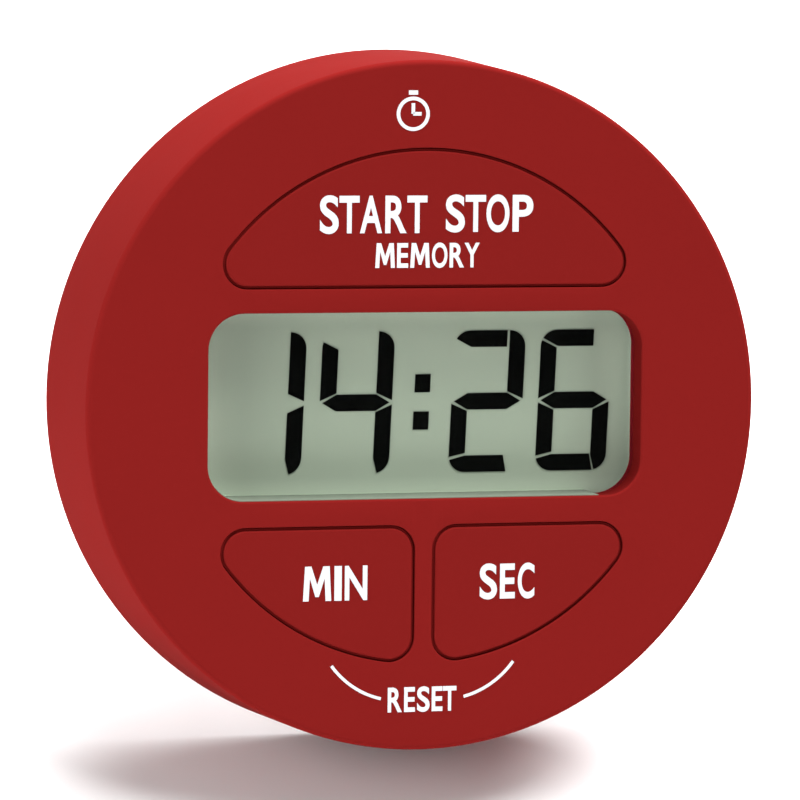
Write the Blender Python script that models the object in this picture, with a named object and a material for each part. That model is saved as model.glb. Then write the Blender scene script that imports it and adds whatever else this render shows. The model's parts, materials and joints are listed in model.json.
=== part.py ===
"""Round digital kitchen timer: a red disc that leans back on a fold-out stand leg.

The timer is modelled upright in its own body frame: x to the right, y from the face (0) to
the back (BODY_DEPTH), z up, with the face centre at the origin. At the end the whole body is
leaned back until its rim and the foot of the open leg share one plane, which becomes z = 0.
"""
from math import asin, atan2, cos, hypot, pi, radians, sin, sqrt

import bmesh
import bpy
from mathutils import Matrix, Vector

# ---- case -------------------------------------------------------------------------------
FACE_RADIUS = 0.0304
WALL_DRAFT = 0.0006
BODY_DEPTH = 0.0145
FACE_FILLET = 0.0010
REAR_FILLET = 0.0006
FACE_THICKNESS = 0.0024
WALL_THICKNESS = 0.0018
COVER_THICKNESS = 0.0020
COVER_SEAT = 0.0007
GAP = 0.0003
EDGE_CHAMFER = 0.0003

# ---- display ----------------------------------------------------------------------------
WINDOW_WIDTH = 0.0395
WINDOW_HEIGHT = 0.01635
WINDOW_CENTRE_Z = 0.00015
WINDOW_CORNER = 0.0032
LENS_MARGIN = 0.0008
LENS_THICKNESS = 0.0010
GLASS_MARGIN = 0.00055
GLASS_THICKNESS = 0.0007
GLASS_LEDGE = 0.0016
REFLECTOR_THICKNESS = 0.0002
HOLDER_WALL = 0.00055
ZEBRA_WIDTH = 0.0008
ZEBRA_END = 0.0020

# ---- keys -------------------------------------------------------------------------------
KEY_RADIUS = 0.0226
KEY_GROOVE = 0.00035
KEY_CORNER = 0.0021
UPPER_KEY_SPACE = 0.00225
LOWER_KEY_SPACE = 0.00251
KEY_RIB_HALF = 0.00092
KEY_CHAMFER = 0.00015
KEY_TRAVEL = 0.0008
FLANGE_OVERLAP = 0.00045
FLANGE_THICKNESS = 0.0008
PLUNGER_RADIUS = 0.0020
UPPER_DOME_INSET = 0.0054
LOWER_DOME_INSET = 0.0047
DOME_BASE_RADIUS = 0.0042
DOME_BASE_THICKNESS = 0.0008
DOME_TOP_RADIUS = 0.0020
DOME_HEIGHT = 0.0022
PILL_RADIUS = 0.0015
PILL_THICKNESS = 0.0004

# ---- circuit board ----------------------------------------------------------------------
BOARD_THICKNESS = 0.0010
BOARD_EDGE_GAP = 0.0016
BOARD_POST_INSET = 0.0028
BOARD_POST_RADIUS = 0.0016
CHIP_RADIUS = 0.0045
CHIP_HEIGHT = 0.0009
CRYSTAL_RADIUS = 0.0010
CRYSTAL_LENGTH = 0.0060
CRYSTAL_X = -0.0195
CRYSTAL_Z = 0.0085
SMALL_CHIP_X = -0.0190
SMALL_CHIPS = {
    "board_capacitor": {"z": 0.0040, "length": 0.0020, "width": 0.00125, "height": 0.0010},
    "board_resistor_1": {"z": -0.0020, "length": 0.0016, "width": 0.0008, "height": 0.0005},
    "board_resistor_2": {"z": -0.0045, "length": 0.0016, "width": 0.0008, "height": 0.0005},
}

# ---- screws -----------------------------------------------------------------------------
CASE_BOSS_RADIUS = 0.0020
CASE_SCREW_ANGLES = {"top": 90, "left": 210, "right": 330}
CASE_SHANK_RADIUS = 0.0007
CASE_SHANK_LENGTH = 0.0050
CASE_HEAD_RADIUS = 0.0017
CASE_HEAD_THICKNESS = 0.0008
CASE_HEAD_SINK = 0.0003
BOARD_SHANK_RADIUS = 0.0006
BOARD_SHANK_LENGTH = 0.0036
BOARD_HEAD_RADIUS = 0.0014
BOARD_HEAD_THICKNESS = 0.0007

# ---- battery ----------------------------------------------------------------------------
CELL_RADIUS = 0.0058
CELL_HEIGHT = 0.0054
CELL_STEP = 0.0006
CONTACT_THICKNESS = 0.0003
CONTACT_WIDTH = 0.0030
CONTACT_LANDING = 0.0011
WELL_WALL = 0.0005
DOOR_THICKNESS = 0.0012
DOOR_LIP = 0.0009
DOOR_HUB_WALL = 0.0005
DOOR_TAB_LENGTH = 0.0012
DOOR_TAB_THICKNESS = 0.0008
DOOR_TAB_ANGLE = 34
DOOR_TURN = 40
LEDGE_THICKNESS = 0.0008
COIN_SLOT_LENGTH = 0.0110
COIN_SLOT_WIDTH = 0.0014
COIN_SLOT_DEPTH = 0.0006

# ---- magnet and sounder -----------------------------------------------------------------
MAGNET_RADIUS = 0.0070
MAGNET_THICKNESS = 0.0020
PIEZO_X = 0.0215
PIEZO_RADIUS = 0.0060
CERAMIC_RADIUS = 0.0042
PIEZO_THICKNESS = 0.0003
SOUND_HOLE_RADIUS = 0.0005
SOUND_HOLE_PITCH = 0.0022
WIRE_RADIUS = 0.00025
WIRE_STEPS = 8
WIRE_PAD_X = 0.0185
WIRE_PAD_Z = 0.0085

# ---- stand leg --------------------------------------------------------------------------
LEG_ARM_WIDTH = 0.0030
LEG_FOOT_HEIGHT = 0.0040
LEG_THICKNESS = 0.0024
LEG_FOOT_CORNER = 0.0060
LEG_WINDOW_CORNER = 0.0030
LEG_RIM_MARGIN = 0.0041
LEG_CHAMFER = 0.0003
LEG_GAP = 0.0004
LEG_OPEN_ANGLE = radians(34)
HINGE_Z = 0.0200
BARREL_RADIUS = 0.0015
PIN_RADIUS = 0.0006
PIN_SOCKET = 0.0008
COVER_BLOCK_WALL = 0.0009
COVER_BLOCK_DEPTH = 0.0023
THUMB_NOTCH_RADIUS = 0.0045
THUMB_NOTCH_DEPTH = 0.0013
THUMB_NOTCH_Z = -0.0120

# ---- facets of round shapes -------------------------------------------------------------
RIM_STEPS = 72
ROUND_STEPS = 24
SMALL_STEPS = 16
CORNER_STEPS = 5
FILLET_STEPS = 3

# ---- places that follow from the sizes above --------------------------------------------
REAR_RADIUS = FACE_RADIUS + WALL_DRAFT
CASE_BORE = FACE_RADIUS - WALL_THICKNESS
COVER_FRONT = BODY_DEPTH - COVER_THICKNESS
COVER_RADIUS = CASE_BORE + COVER_SEAT - GAP
COVER_BLOCK_FRONT = COVER_FRONT - COVER_BLOCK_DEPTH
LEDGE_REAR = BODY_DEPTH - DOOR_THICKNESS - GAP
LEDGE_FRONT = LEDGE_REAR - LEDGE_THICKNESS
CELL_BACK = LEDGE_REAR
CELL_FRONT = CELL_BACK - CELL_HEIGHT
BOARD_FRONT = CELL_FRONT
BOARD_REAR = BOARD_FRONT + BOARD_THICKNESS
BOARD_RADIUS = CASE_BORE - BOARD_EDGE_GAP
BOARD_POST_X = BOARD_RADIUS - BOARD_POST_INSET
COMPONENT_FRONT = BOARD_REAR + GAP

LENS_FRONT = FACE_THICKNESS + GAP
FRONT_GLASS_FRONT = LENS_FRONT + LENS_THICKNESS + GAP
REAR_GLASS_FRONT = FRONT_GLASS_FRONT + GLASS_THICKNESS + GAP
REFLECTOR_FRONT = REAR_GLASS_FRONT + GLASS_THICKNESS + GAP
HOLDER_FLOOR = REFLECTOR_FRONT + REFLECTOR_THICKNESS + GAP

HUB_BORE = CELL_RADIUS + GAP
HUB_RADIUS = HUB_BORE + DOOR_HUB_WALL
HUB_FRONT = LEDGE_FRONT - GAP - DOOR_TAB_THICKNESS
DOOR_RADIUS = HUB_RADIUS + DOOR_LIP
TAB_RADIUS = HUB_RADIUS + DOOR_TAB_LENGTH
WELL_RADIUS = TAB_RADIUS + GAP
CELL_HOLE_RADIUS = CELL_RADIUS + 2 * GAP
CONTACT_REACH = CELL_HOLE_RADIUS + CONTACT_LANDING

LEG_INNER_HALF = WELL_RADIUS + WELL_WALL + LEG_GAP
LEG_HALF_WIDTH = LEG_INNER_HALF + LEG_ARM_WIDTH
LEG_CORNER_X = LEG_HALF_WIDTH - LEG_FOOT_CORNER
LEG_CORNER_REACH = REAR_RADIUS - LEG_RIM_MARGIN - LEG_FOOT_CORNER
LEG_BOTTOM = -LEG_FOOT_CORNER - sqrt(LEG_CORNER_REACH ** 2 - LEG_CORNER_X ** 2)
LEG_LENGTH = HINGE_Z - LEG_BOTTOM
LEG_FRONT = BODY_DEPTH - LEG_THICKNESS
HINGE_Y = BODY_DEPTH - BARREL_RADIUS
CELL_Z = LEG_BOTTOM + LEG_FOOT_HEIGHT + LEG_GAP + WELL_WALL + WELL_RADIUS
MAGNET_Z = (CELL_Z + WELL_RADIUS + HINGE_Z - BARREL_RADIUS - LEG_GAP) / 2

UPPER_KEY_EDGE = WINDOW_HEIGHT / 2 + WINDOW_CENTRE_Z + UPPER_KEY_SPACE
LOWER_KEY_EDGE = WINDOW_HEIGHT / 2 - WINDOW_CENTRE_Z + LOWER_KEY_SPACE
UPPER_DOME_Z = UPPER_KEY_EDGE + UPPER_DOME_INSET
LOWER_DOME_X = CONTACT_REACH + GAP + DOME_BASE_RADIUS
LOWER_DOME_Z = -LOWER_KEY_EDGE - LOWER_DOME_INSET
FLANGE_OFFSET = KEY_GROOVE + FLANGE_OVERLAP
FLANGE_REAR = FACE_THICKNESS + GAP + FLANGE_THICKNESS
DOME_FRONT = BOARD_FRONT - GAP - DOME_HEIGHT

CASE_BOSS_CIRCLE = CASE_BORE - CASE_BOSS_RADIUS - 2 * GAP
CASE_SCREW_PLACES = {
    side: (CASE_BOSS_CIRCLE * cos(radians(angle)), CASE_BOSS_CIRCLE * sin(radians(angle)))
    for side, angle in CASE_SCREW_ANGLES.items()
}


# ---- outlines: lists of (x, z) points, anticlockwise seen from the front ----------------
def arc(centre_x, centre_z, radius, start, end, steps):
    """Points along an arc, both ends included; angles in radians."""
    points = []
    for step in range(steps + 1):
        angle = start + (end - start) * step / steps
        points.append((centre_x + radius * cos(angle), centre_z + radius * sin(angle)))
    return points


def circle(centre_x, centre_z, radius, steps):
    """Points around a full circle."""
    return arc(centre_x, centre_z, radius, 0, 2 * pi, steps)[:-1]


def rounded_rectangle(left, right, bottom, top, low_corner, high_corner, grow=0.0):
    """A rectangle whose bottom and top corners have their own radii, grown outwards."""
    corners = (
        (right - low_corner, bottom + low_corner, low_corner, -pi / 2),
        (right - high_corner, top - high_corner, high_corner, 0),
        (left + high_corner, top - high_corner, high_corner, pi / 2),
        (left + low_corner, bottom + low_corner, low_corner, pi),
    )
    points = []
    for centre_x, centre_z, radius, start in corners:
        points += arc(centre_x, centre_z, radius + grow, start, start + pi / 2, CORNER_STEPS)
    return points


def centred_rectangle(width, height, centre_z, corner, grow=0.0):
    """A rounded rectangle that is centred on x = 0."""
    return rounded_rectangle(-width / 2, width / 2, centre_z - height / 2, centre_z + height / 2,
                             corner, corner, grow)


def upper_key_outline(grow):
    """The slice of a disc above a level edge; grow = 0 runs along the middle of its groove."""
    centre_z = UPPER_KEY_EDGE + KEY_CORNER
    reach = KEY_RADIUS - KEY_CORNER
    centre_x = sqrt(reach ** 2 - centre_z ** 2)
    lean = atan2(centre_z, centre_x)
    corner = KEY_CORNER + grow
    points = arc(centre_x, centre_z, corner, -pi / 2, lean, CORNER_STEPS + 2)
    points += arc(0, 0, KEY_RADIUS + grow, lean, pi - lean, ROUND_STEPS)[1:-1]
    points += arc(-centre_x, centre_z, corner, pi - lean, 3 * pi / 2, CORNER_STEPS + 2)
    return points


def lower_key_outline(side, grow):
    """A quarter slice below a level edge; side is -1 for the left key and 1 for the right."""
    centre_z = LOWER_KEY_EDGE + KEY_CORNER
    reach = KEY_RADIUS - KEY_CORNER
    outer_x = sqrt(reach ** 2 - centre_z ** 2)
    inner_x = KEY_RIB_HALF + KEY_CORNER
    low_z = sqrt(reach ** 2 - inner_x ** 2)
    outer_lean = atan2(centre_z, outer_x)
    low_lean = atan2(low_z, inner_x)
    corner = KEY_CORNER + grow
    points = arc(outer_x, -centre_z, corner, pi / 2, -outer_lean, CORNER_STEPS + 2)
    points += arc(0, 0, KEY_RADIUS + grow, -outer_lean, -low_lean, SMALL_STEPS)[1:-1]
    points += arc(inner_x, -low_z, corner, -low_lean, -pi, CORNER_STEPS + 2)
    points += arc(inner_x, -centre_z, corner, -pi, -3 * pi / 2, CORNER_STEPS)
    if side > 0:
        return points[::-1]
    return [(-x, z) for x, z in points]


# ---- solids -----------------------------------------------------------------------------
def new_object(name, mesh):
    """Add a mesh to the scene as an object with this name."""
    piece = bpy.data.objects.new(name, mesh)
    bpy.context.scene.collection.objects.link(piece)
    return piece


def lofted(name, layers):
    """A closed solid through layers of (outline, y), all with equally many points."""
    bm = bmesh.new()
    rings = [[bm.verts.new((x, y, z)) for x, z in outline] for outline, y in layers]
    count = len(rings[0])
    bm.faces.new(rings[0])
    bm.faces.new(rings[-1][::-1])
    for near, far in zip(rings, rings[1:]):
        for i in range(count):
            j = (i + 1) % count
            bm.faces.new((near[j], near[i], far[i], far[j]))
    bmesh.ops.recalc_face_normals(bm, faces=bm.faces)
    mesh = bpy.data.meshes.new(name)
    bm.to_mesh(mesh)
    bm.free()
    return new_object(name, mesh)


def prism(name, outline, front, back):
    """An outline pushed straight back from y = front to y = back."""
    return lofted(name, [(outline, front), (outline, back)])


def box(name, left, right, front, back, bottom, top):
    """A plain block."""
    outline = [(left, bottom), (right, bottom), (right, top), (left, top)]
    return prism(name, outline, front, back)


def turned(name, profile, steps, centre_x=0.0, centre_z=0.0):
    """A profile of (radius, y) points turned about y, with flat caps on its first and last ring."""
    return lofted(name, [(circle(centre_x, centre_z, radius, steps), y) for radius, y in profile])


def combine(piece, tool, operation):
    """Apply one exact Boolean with a helper solid, which is then removed."""
    step = piece.modifiers.new(operation.lower(), "BOOLEAN")
    step.operation = operation
    step.solver = "EXACT"
    step.object = tool
    bpy.context.view_layer.update()
    graph = bpy.context.evaluated_depsgraph_get()
    result = bpy.data.meshes.new_from_object(piece.evaluated_get(graph))
    piece.modifiers.clear()
    piece.data = result
    result.name = piece.name
    bpy.data.objects.remove(tool)


def cut(piece, tool):
    """Take the helper solid away from the piece."""
    combine(piece, tool, "DIFFERENCE")


def add(piece, tool):
    """Weld the helper solid onto the piece."""
    combine(piece, tool, "UNION")


def cylinder(name, centre_x, centre_z, radius, front, back, steps=ROUND_STEPS):
    """A round bar along y."""
    return prism(name, circle(centre_x, centre_z, radius, steps), front, back)


def cross_bar(name, radius, half_length, y, z, steps=SMALL_STEPS):
    """A round bar along x, centred on x = 0."""
    piece = prism(name, circle(0, 0, radius, steps), -half_length, half_length)
    turn = Matrix.Rotation(pi / 2, 4, "Z")
    piece.data.transform(Matrix.Translation((0, y, z)) @ turn)
    return piece


# ---- case -------------------------------------------------------------------------------
def wall_radius(y):
    """Outer radius of the case: the side wall widens evenly towards the back."""
    return FACE_RADIUS + (REAR_RADIUS - FACE_RADIUS) * y / BODY_DEPTH


def make_front_housing():
    """The face, side wall, key openings and screw bosses, moulded in one piece."""
    rear_bore = CASE_BORE + COVER_SEAT
    seat = COVER_FRONT - GAP
    profile = []
    for step in range(FILLET_STEPS + 1):
        angle = pi / 2 * step / FILLET_STEPS
        radius = wall_radius(0) - FACE_FILLET * (1 - sin(angle))
        profile.append((radius, FACE_FILLET * (1 - cos(angle))))
    for step in range(FILLET_STEPS + 1):
        angle = pi / 2 * step / FILLET_STEPS
        radius = REAR_RADIUS - REAR_FILLET * (1 - cos(angle))
        profile.append((radius, BODY_DEPTH - REAR_FILLET * (1 - sin(angle))))
    profile += [(rear_bore, BODY_DEPTH), (rear_bore, seat), (CASE_BORE, seat)]
    profile.append((CASE_BORE, FACE_THICKNESS))
    piece = turned("front_housing", profile, RIM_STEPS)
    window = centred_rectangle(WINDOW_WIDTH, WINDOW_HEIGHT, WINDOW_CENTRE_Z, WINDOW_CORNER)
    openings = [window, upper_key_outline(KEY_GROOVE / 2)]
    openings += [lower_key_outline(side, KEY_GROOVE / 2) for side in (-1, 1)]
    for outline in openings:
        cut(piece, prism("opening", outline, -FACE_THICKNESS, 2 * FACE_THICKNESS))
    sunk = FACE_THICKNESS / 2
    for x, z in CASE_SCREW_PLACES.values():
        add(piece, cylinder("boss", x, z, CASE_BOSS_RADIUS, sunk, COVER_FRONT - GAP))
        bore_end = COVER_FRONT - CASE_SHANK_LENGTH
        cut(piece, cylinder("bore", x, z, CASE_SHANK_RADIUS + GAP, bore_end, BODY_DEPTH, SMALL_STEPS))
    for x in (-BOARD_POST_X, BOARD_POST_X):
        add(piece, cylinder("post", x, 0, BOARD_POST_RADIUS, sunk, BOARD_FRONT - GAP, SMALL_STEPS))
        bore_end = BOARD_REAR + GAP - BOARD_SHANK_LENGTH - GAP
        cut(piece, cylinder("bore", x, 0, BOARD_SHANK_RADIUS + GAP, bore_end, BOARD_REAR, SMALL_STEPS))
    return piece


def leg_outline(grow):
    """Outer outline of the folded stand leg."""
    return rounded_rectangle(-LEG_HALF_WIDTH, LEG_HALF_WIDTH, LEG_BOTTOM, HINGE_Z + heel_rise(),
                             LEG_FOOT_CORNER, LEG_CHAMFER, grow)


def leg_window(grow):
    """Outline of the opening inside the stand leg."""
    corner = LEG_WINDOW_CORNER
    return rounded_rectangle(-LEG_INNER_HALF, LEG_INNER_HALF, LEG_BOTTOM + LEG_FOOT_HEIGHT,
                             HINGE_Z - BARREL_RADIUS, corner, corner, grow)


def heel_rise():
    """How far the leg's top edge stands above its hinge, to meet the pocket wall when open."""
    wall = BARREL_RADIUS + LEG_GAP - GAP
    return (wall - BARREL_RADIUS * sin(LEG_OPEN_ANGLE)) / cos(LEG_OPEN_ANGLE)


def make_rear_cover():
    """The round back with the leg pocket, battery well, magnet pocket and sound holes."""
    profile = [(COVER_RADIUS, COVER_FRONT), (COVER_RADIUS, BODY_DEPTH - EDGE_CHAMFER)]
    profile.append((COVER_RADIUS - EDGE_CHAMFER, BODY_DEPTH))
    piece = turned("rear_cover", profile, RIM_STEPS)
    block = pocket_outline(LEG_GAP + COVER_BLOCK_WALL)
    add(piece, prism("block", block, COVER_BLOCK_FRONT, BODY_DEPTH - COVER_THICKNESS / 2))
    cut_leg_pocket(piece)
    cut_battery_well(piece)
    pocket_floor = BODY_DEPTH - MAGNET_THICKNESS - GAP
    cut(piece, cylinder("magnet_pocket", 0, MAGNET_Z, MAGNET_RADIUS + GAP, pocket_floor, 2 * BODY_DEPTH))
    for x, z in sound_hole_places():
        cut(piece, cylinder("hole", x, z, SOUND_HOLE_RADIUS, 0, 2 * BODY_DEPTH, SMALL_STEPS // 2))
    for x, z in CASE_SCREW_PLACES.values():
        head_seat = BODY_DEPTH - CASE_HEAD_SINK - CASE_HEAD_THICKNESS - GAP
        cut(piece, cylinder("hole", x, z, CASE_SHANK_RADIUS + GAP, 0, 2 * BODY_DEPTH, SMALL_STEPS))
        cut(piece, cylinder("seat", x, z, CASE_HEAD_RADIUS + GAP, head_seat, 2 * BODY_DEPTH, SMALL_STEPS))
    return piece


def pocket_outline(grow):
    """The folded leg with its hinge barrel, as the pocket for it is drawn around it."""
    return rounded_rectangle(-LEG_HALF_WIDTH, LEG_HALF_WIDTH, LEG_BOTTOM, HINGE_Z + BARREL_RADIUS,
                             LEG_FOOT_CORNER, LEG_CHAMFER, grow)


def cut_leg_pocket(piece):
    """The frame-shaped pocket, the deeper groove for the hinge barrel and a thumb notch."""
    pocket = prism("pocket", pocket_outline(LEG_GAP), LEG_FRONT - GAP, 2 * BODY_DEPTH)
    cut(pocket, prism("island", leg_window(-LEG_GAP), 0, 3 * BODY_DEPTH))
    cut(piece, pocket)
    half = LEG_HALF_WIDTH + LEG_GAP
    groove_front = HINGE_Y - BARREL_RADIUS - GAP
    low = HINGE_Z - BARREL_RADIUS - LEG_GAP
    high = HINGE_Z + BARREL_RADIUS + LEG_GAP
    cut(piece, box("groove", -half, half, groove_front, 2 * BODY_DEPTH, low, high))
    cut(piece, cross_bar("pin_hole", PIN_RADIUS + GAP, half + PIN_SOCKET, HINGE_Y, HINGE_Z))
    notch_floor = BODY_DEPTH - THUMB_NOTCH_DEPTH
    cut(piece, cylinder("notch", half, THUMB_NOTCH_Z, THUMB_NOTCH_RADIUS, notch_floor, 2 * BODY_DEPTH))


def cut_battery_well(piece):
    """The round well for the cell, with a ledge that the door's tabs lock under."""
    rebate = DOOR_RADIUS + GAP
    cut(piece, cylinder("rebate", 0, CELL_Z, rebate, LEDGE_REAR, 2 * BODY_DEPTH))
    cut(piece, cylinder("mouth", 0, CELL_Z, HUB_RADIUS + GAP, 0, 2 * BODY_DEPTH))
    cut(piece, cylinder("well", 0, CELL_Z, WELL_RADIUS, 0, LEDGE_FRONT))
    for side in (0, pi):
        notch = tab_outline(side - radians(DOOR_TURN), GAP)
        cut(piece, prism("tab_gate", notch, LEDGE_FRONT - GAP, LEDGE_REAR + GAP))


def tab_outline(direction, grow):
    """A bayonet tab of the battery door, as a curved patch around the cell's axis."""
    half = radians(DOOR_TAB_ANGLE) / 2 + grow / TAB_RADIUS
    inner = HUB_BORE + DOOR_HUB_WALL / 2
    outer_arc = arc(0, CELL_Z, TAB_RADIUS + grow, direction - half, direction + half, CORNER_STEPS)
    inner_arc = arc(0, CELL_Z, inner, direction + half, direction - half, CORNER_STEPS)
    return outer_arc + inner_arc


def sound_hole_places():
    """One hole over the sounder's centre and six around it."""
    places = [(PIEZO_X, 0.0)]
    places += circle(PIEZO_X, 0.0, SOUND_HOLE_PITCH, 6)
    return places


# ---- display ----------------------------------------------------------------------------
def make_display_lens():
    """The clear window that sits behind the face."""
    outline = centred_rectangle(WINDOW_WIDTH, WINDOW_HEIGHT, WINDOW_CENTRE_Z, WINDOW_CORNER, LENS_MARGIN)
    return prism("display_lens", outline, LENS_FRONT, LENS_FRONT + LENS_THICKNESS)


def glass_limits():
    """Left, right, bottom and top of the front glass."""
    half_width = WINDOW_WIDTH / 2 + GLASS_MARGIN
    half_height = WINDOW_HEIGHT / 2 + GLASS_MARGIN
    return -half_width, half_width, WINDOW_CENTRE_Z - half_height, WINDOW_CENTRE_Z + half_height


def make_display_glass():
    """Front and rear glass of the liquid crystal cell and the reflector behind them."""
    left, right, bottom, top = glass_limits()
    ledge = bottom + GLASS_LEDGE
    front_back = FRONT_GLASS_FRONT + GLASS_THICKNESS
    rear_back = REAR_GLASS_FRONT + GLASS_THICKNESS
    reflector_back = REFLECTOR_FRONT + REFLECTOR_THICKNESS
    return [
        box("lcd_front_glass", left, right, FRONT_GLASS_FRONT, front_back, bottom, top),
        box("lcd_rear_glass", left, right, REAR_GLASS_FRONT, rear_back, ledge, top),
        box("lcd_reflector", left, right, REFLECTOR_FRONT, reflector_back, ledge, top),
    ]


def make_lcd_holder():
    """The tray that holds the glass in place, with a slot for the contact strip."""
    left, right, bottom, top = glass_limits()
    grow = GAP + HOLDER_WALL
    piece = box("lcd_holder", left - grow, right + grow, FRONT_GLASS_FRONT, BOARD_FRONT - GAP,
                bottom - grow, top + grow)
    cut(piece, box("tray", left - GAP, right + GAP, 0, HOLDER_FLOOR, bottom - GAP, top + GAP))
    slot_left, slot_right, slot_bottom, slot_top = zebra_limits()
    cut(piece, box("slot", slot_left - GAP, slot_right + GAP, 0, BOARD_REAR,
                   slot_bottom - GAP, slot_top + GAP))
    return piece


def zebra_limits():
    """Left, right, bottom and top of the elastomer contact strip."""
    left, right, bottom, _ = glass_limits()
    middle = bottom + GLASS_LEDGE / 2 - GAP / 2
    return left + ZEBRA_END, right - ZEBRA_END, middle - ZEBRA_WIDTH / 2, middle + ZEBRA_WIDTH / 2


def make_zebra_strip():
    """The elastomer strip that carries the display's signals from the board."""
    left, right, bottom, top = zebra_limits()
    return box("lcd_zebra_strip", left, right, REAR_GLASS_FRONT, BOARD_FRONT - GAP, bottom, top)


# ---- keys -------------------------------------------------------------------------------
def make_key(name, outline, dome_x, dome_z):
    """A key cap with a retaining flange and a plunger over its rubber dome."""
    edge = -KEY_GROOVE / 2
    flange = edge + FLANGE_OFFSET
    flange_front = FLANGE_REAR - FLANGE_THICKNESS
    layers = [
        (outline(edge - KEY_CHAMFER), 0),
        (outline(edge), KEY_CHAMFER),
        (outline(edge), flange_front),
        (outline(flange), flange_front),
        (outline(flange), FLANGE_REAR),
    ]
    piece = lofted(name, layers)
    plunger_end = DOME_FRONT - GAP - KEY_TRAVEL
    add(piece, cylinder("plunger", dome_x, dome_z, PLUNGER_RADIUS, FLANGE_REAR - FLANGE_THICKNESS / 2,
                        plunger_end, SMALL_STEPS))
    return piece


def make_dome(name, x, z):
    """A silicone dome on the board, hollow underneath."""
    foot = BOARD_FRONT - GAP
    shoulder = foot - DOME_BASE_THICKNESS
    roof = DOME_FRONT + DOME_BASE_THICKNESS
    skirt = (DOME_BASE_RADIUS + DOME_TOP_RADIUS) / 2
    profile = [
        (DOME_TOP_RADIUS, DOME_FRONT),
        (DOME_TOP_RADIUS, roof),
        (skirt, shoulder),
        (DOME_BASE_RADIUS, shoulder),
        (DOME_BASE_RADIUS, foot),
        (skirt, foot),
        (PILL_RADIUS + GAP, roof),
    ]
    return turned(name, profile, ROUND_STEPS // 2, x, z)


def make_pill(name, x, z):
    """The carbon pill that closes the contact on the board."""
    front = DOME_FRONT + DOME_BASE_THICKNESS + GAP
    return cylinder(name, x, z, PILL_RADIUS, front, front + PILL_THICKNESS, SMALL_STEPS)


def key_plans():
    """Name, outline and dome place of each key."""
    return [
        ("start_stop", upper_key_outline, 0.0, UPPER_DOME_Z),
        ("min", lambda grow: lower_key_outline(-1, grow), -LOWER_DOME_X, LOWER_DOME_Z),
        ("sec", lambda grow: lower_key_outline(1, grow), LOWER_DOME_X, LOWER_DOME_Z),
    ]


# ---- circuit board ----------------------------------------------------------------------
def make_circuit_board():
    """The round board, cleared for the case bosses, its own screws and the cell."""
    piece = cylinder("circuit_board", 0, 0, BOARD_RADIUS, BOARD_FRONT, BOARD_REAR, 2 * ROUND_STEPS)
    for x, z in CASE_SCREW_PLACES.values():
        cut(piece, cylinder("notch", x, z, CASE_BOSS_RADIUS + 2 * GAP, 0, BODY_DEPTH, SMALL_STEPS))
    for x in (-BOARD_POST_X, BOARD_POST_X):
        cut(piece, cylinder("hole", x, 0, BOARD_SHANK_RADIUS + GAP, 0, BODY_DEPTH, SMALL_STEPS))
    cut(piece, cylinder("cell_hole", 0, CELL_Z, CELL_HOLE_RADIUS, 0, BODY_DEPTH))
    return piece


def make_board_components():
    """The bonded chip, the crystal and three small chips on the back of the board."""
    front = COMPONENT_FRONT
    profile = [(CHIP_RADIUS, front)]
    for step in range(1, 4):
        angle = pi / 2 * step / 4
        profile.append((CHIP_RADIUS * cos(angle), front + CHIP_HEIGHT * sin(angle)))
    pieces = [turned("chip_cover", profile, SMALL_STEPS, 0, MAGNET_Z)]
    crystal = cross_bar("quartz_crystal", CRYSTAL_RADIUS, CRYSTAL_LENGTH / 2, 0, 0)
    crystal.data.transform(Matrix.Translation((CRYSTAL_X, front + CRYSTAL_RADIUS, CRYSTAL_Z)))
    pieces.append(crystal)
    for name, chip in SMALL_CHIPS.items():
        half_length, half_width = chip["length"] / 2, chip["width"] / 2
        pieces.append(box(name, SMALL_CHIP_X - half_length, SMALL_CHIP_X + half_length,
                          front, front + chip["height"], chip["z"] - half_width, chip["z"] + half_width))
    return pieces


# ---- screws -----------------------------------------------------------------------------
def make_screw(name, x, z, head_front, sizes):
    """A pan-head screw that points to the face, with a cross recess in its head."""
    head_radius, head_thickness, shank_radius, shank_length = sizes
    back = head_front + head_thickness
    profile = [
        (shank_radius * 0.6, head_front - shank_length),
        (shank_radius, head_front - shank_length + shank_radius),
        (shank_radius, head_front),
        (head_radius, head_front),
        (head_radius, back - head_thickness / 3),
        (head_radius * 0.8, back),
    ]
    piece = turned(name, profile, SMALL_STEPS, x, z)
    arm, half = head_radius * 0.55, head_radius * 0.14
    floor = back - head_thickness / 2
    recess = box("recess", x - arm, x + arm, floor, 2 * back, z - half, z + half)
    add(recess, box("recess_arm", x - half, x + half, floor, 2 * back, z - arm, z + arm))
    cut(piece, recess)
    return piece


def make_screws():
    """Three screws hold the rear cover and two hold the board."""
    case_sizes = (CASE_HEAD_RADIUS, CASE_HEAD_THICKNESS, CASE_SHANK_RADIUS, CASE_SHANK_LENGTH)
    board_sizes = (BOARD_HEAD_RADIUS, BOARD_HEAD_THICKNESS, BOARD_SHANK_RADIUS, BOARD_SHANK_LENGTH)
    case_front = BODY_DEPTH - CASE_HEAD_SINK - CASE_HEAD_THICKNESS
    pieces = []
    for side, (x, z) in CASE_SCREW_PLACES.items():
        pieces.append(make_screw("case_screw_" + side, x, z, case_front, case_sizes))
    for side, x in (("left", -BOARD_POST_X), ("right", BOARD_POST_X)):
        pieces.append(make_screw("board_screw_" + side, x, 0, COMPONENT_FRONT, board_sizes))
    return pieces


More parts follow.
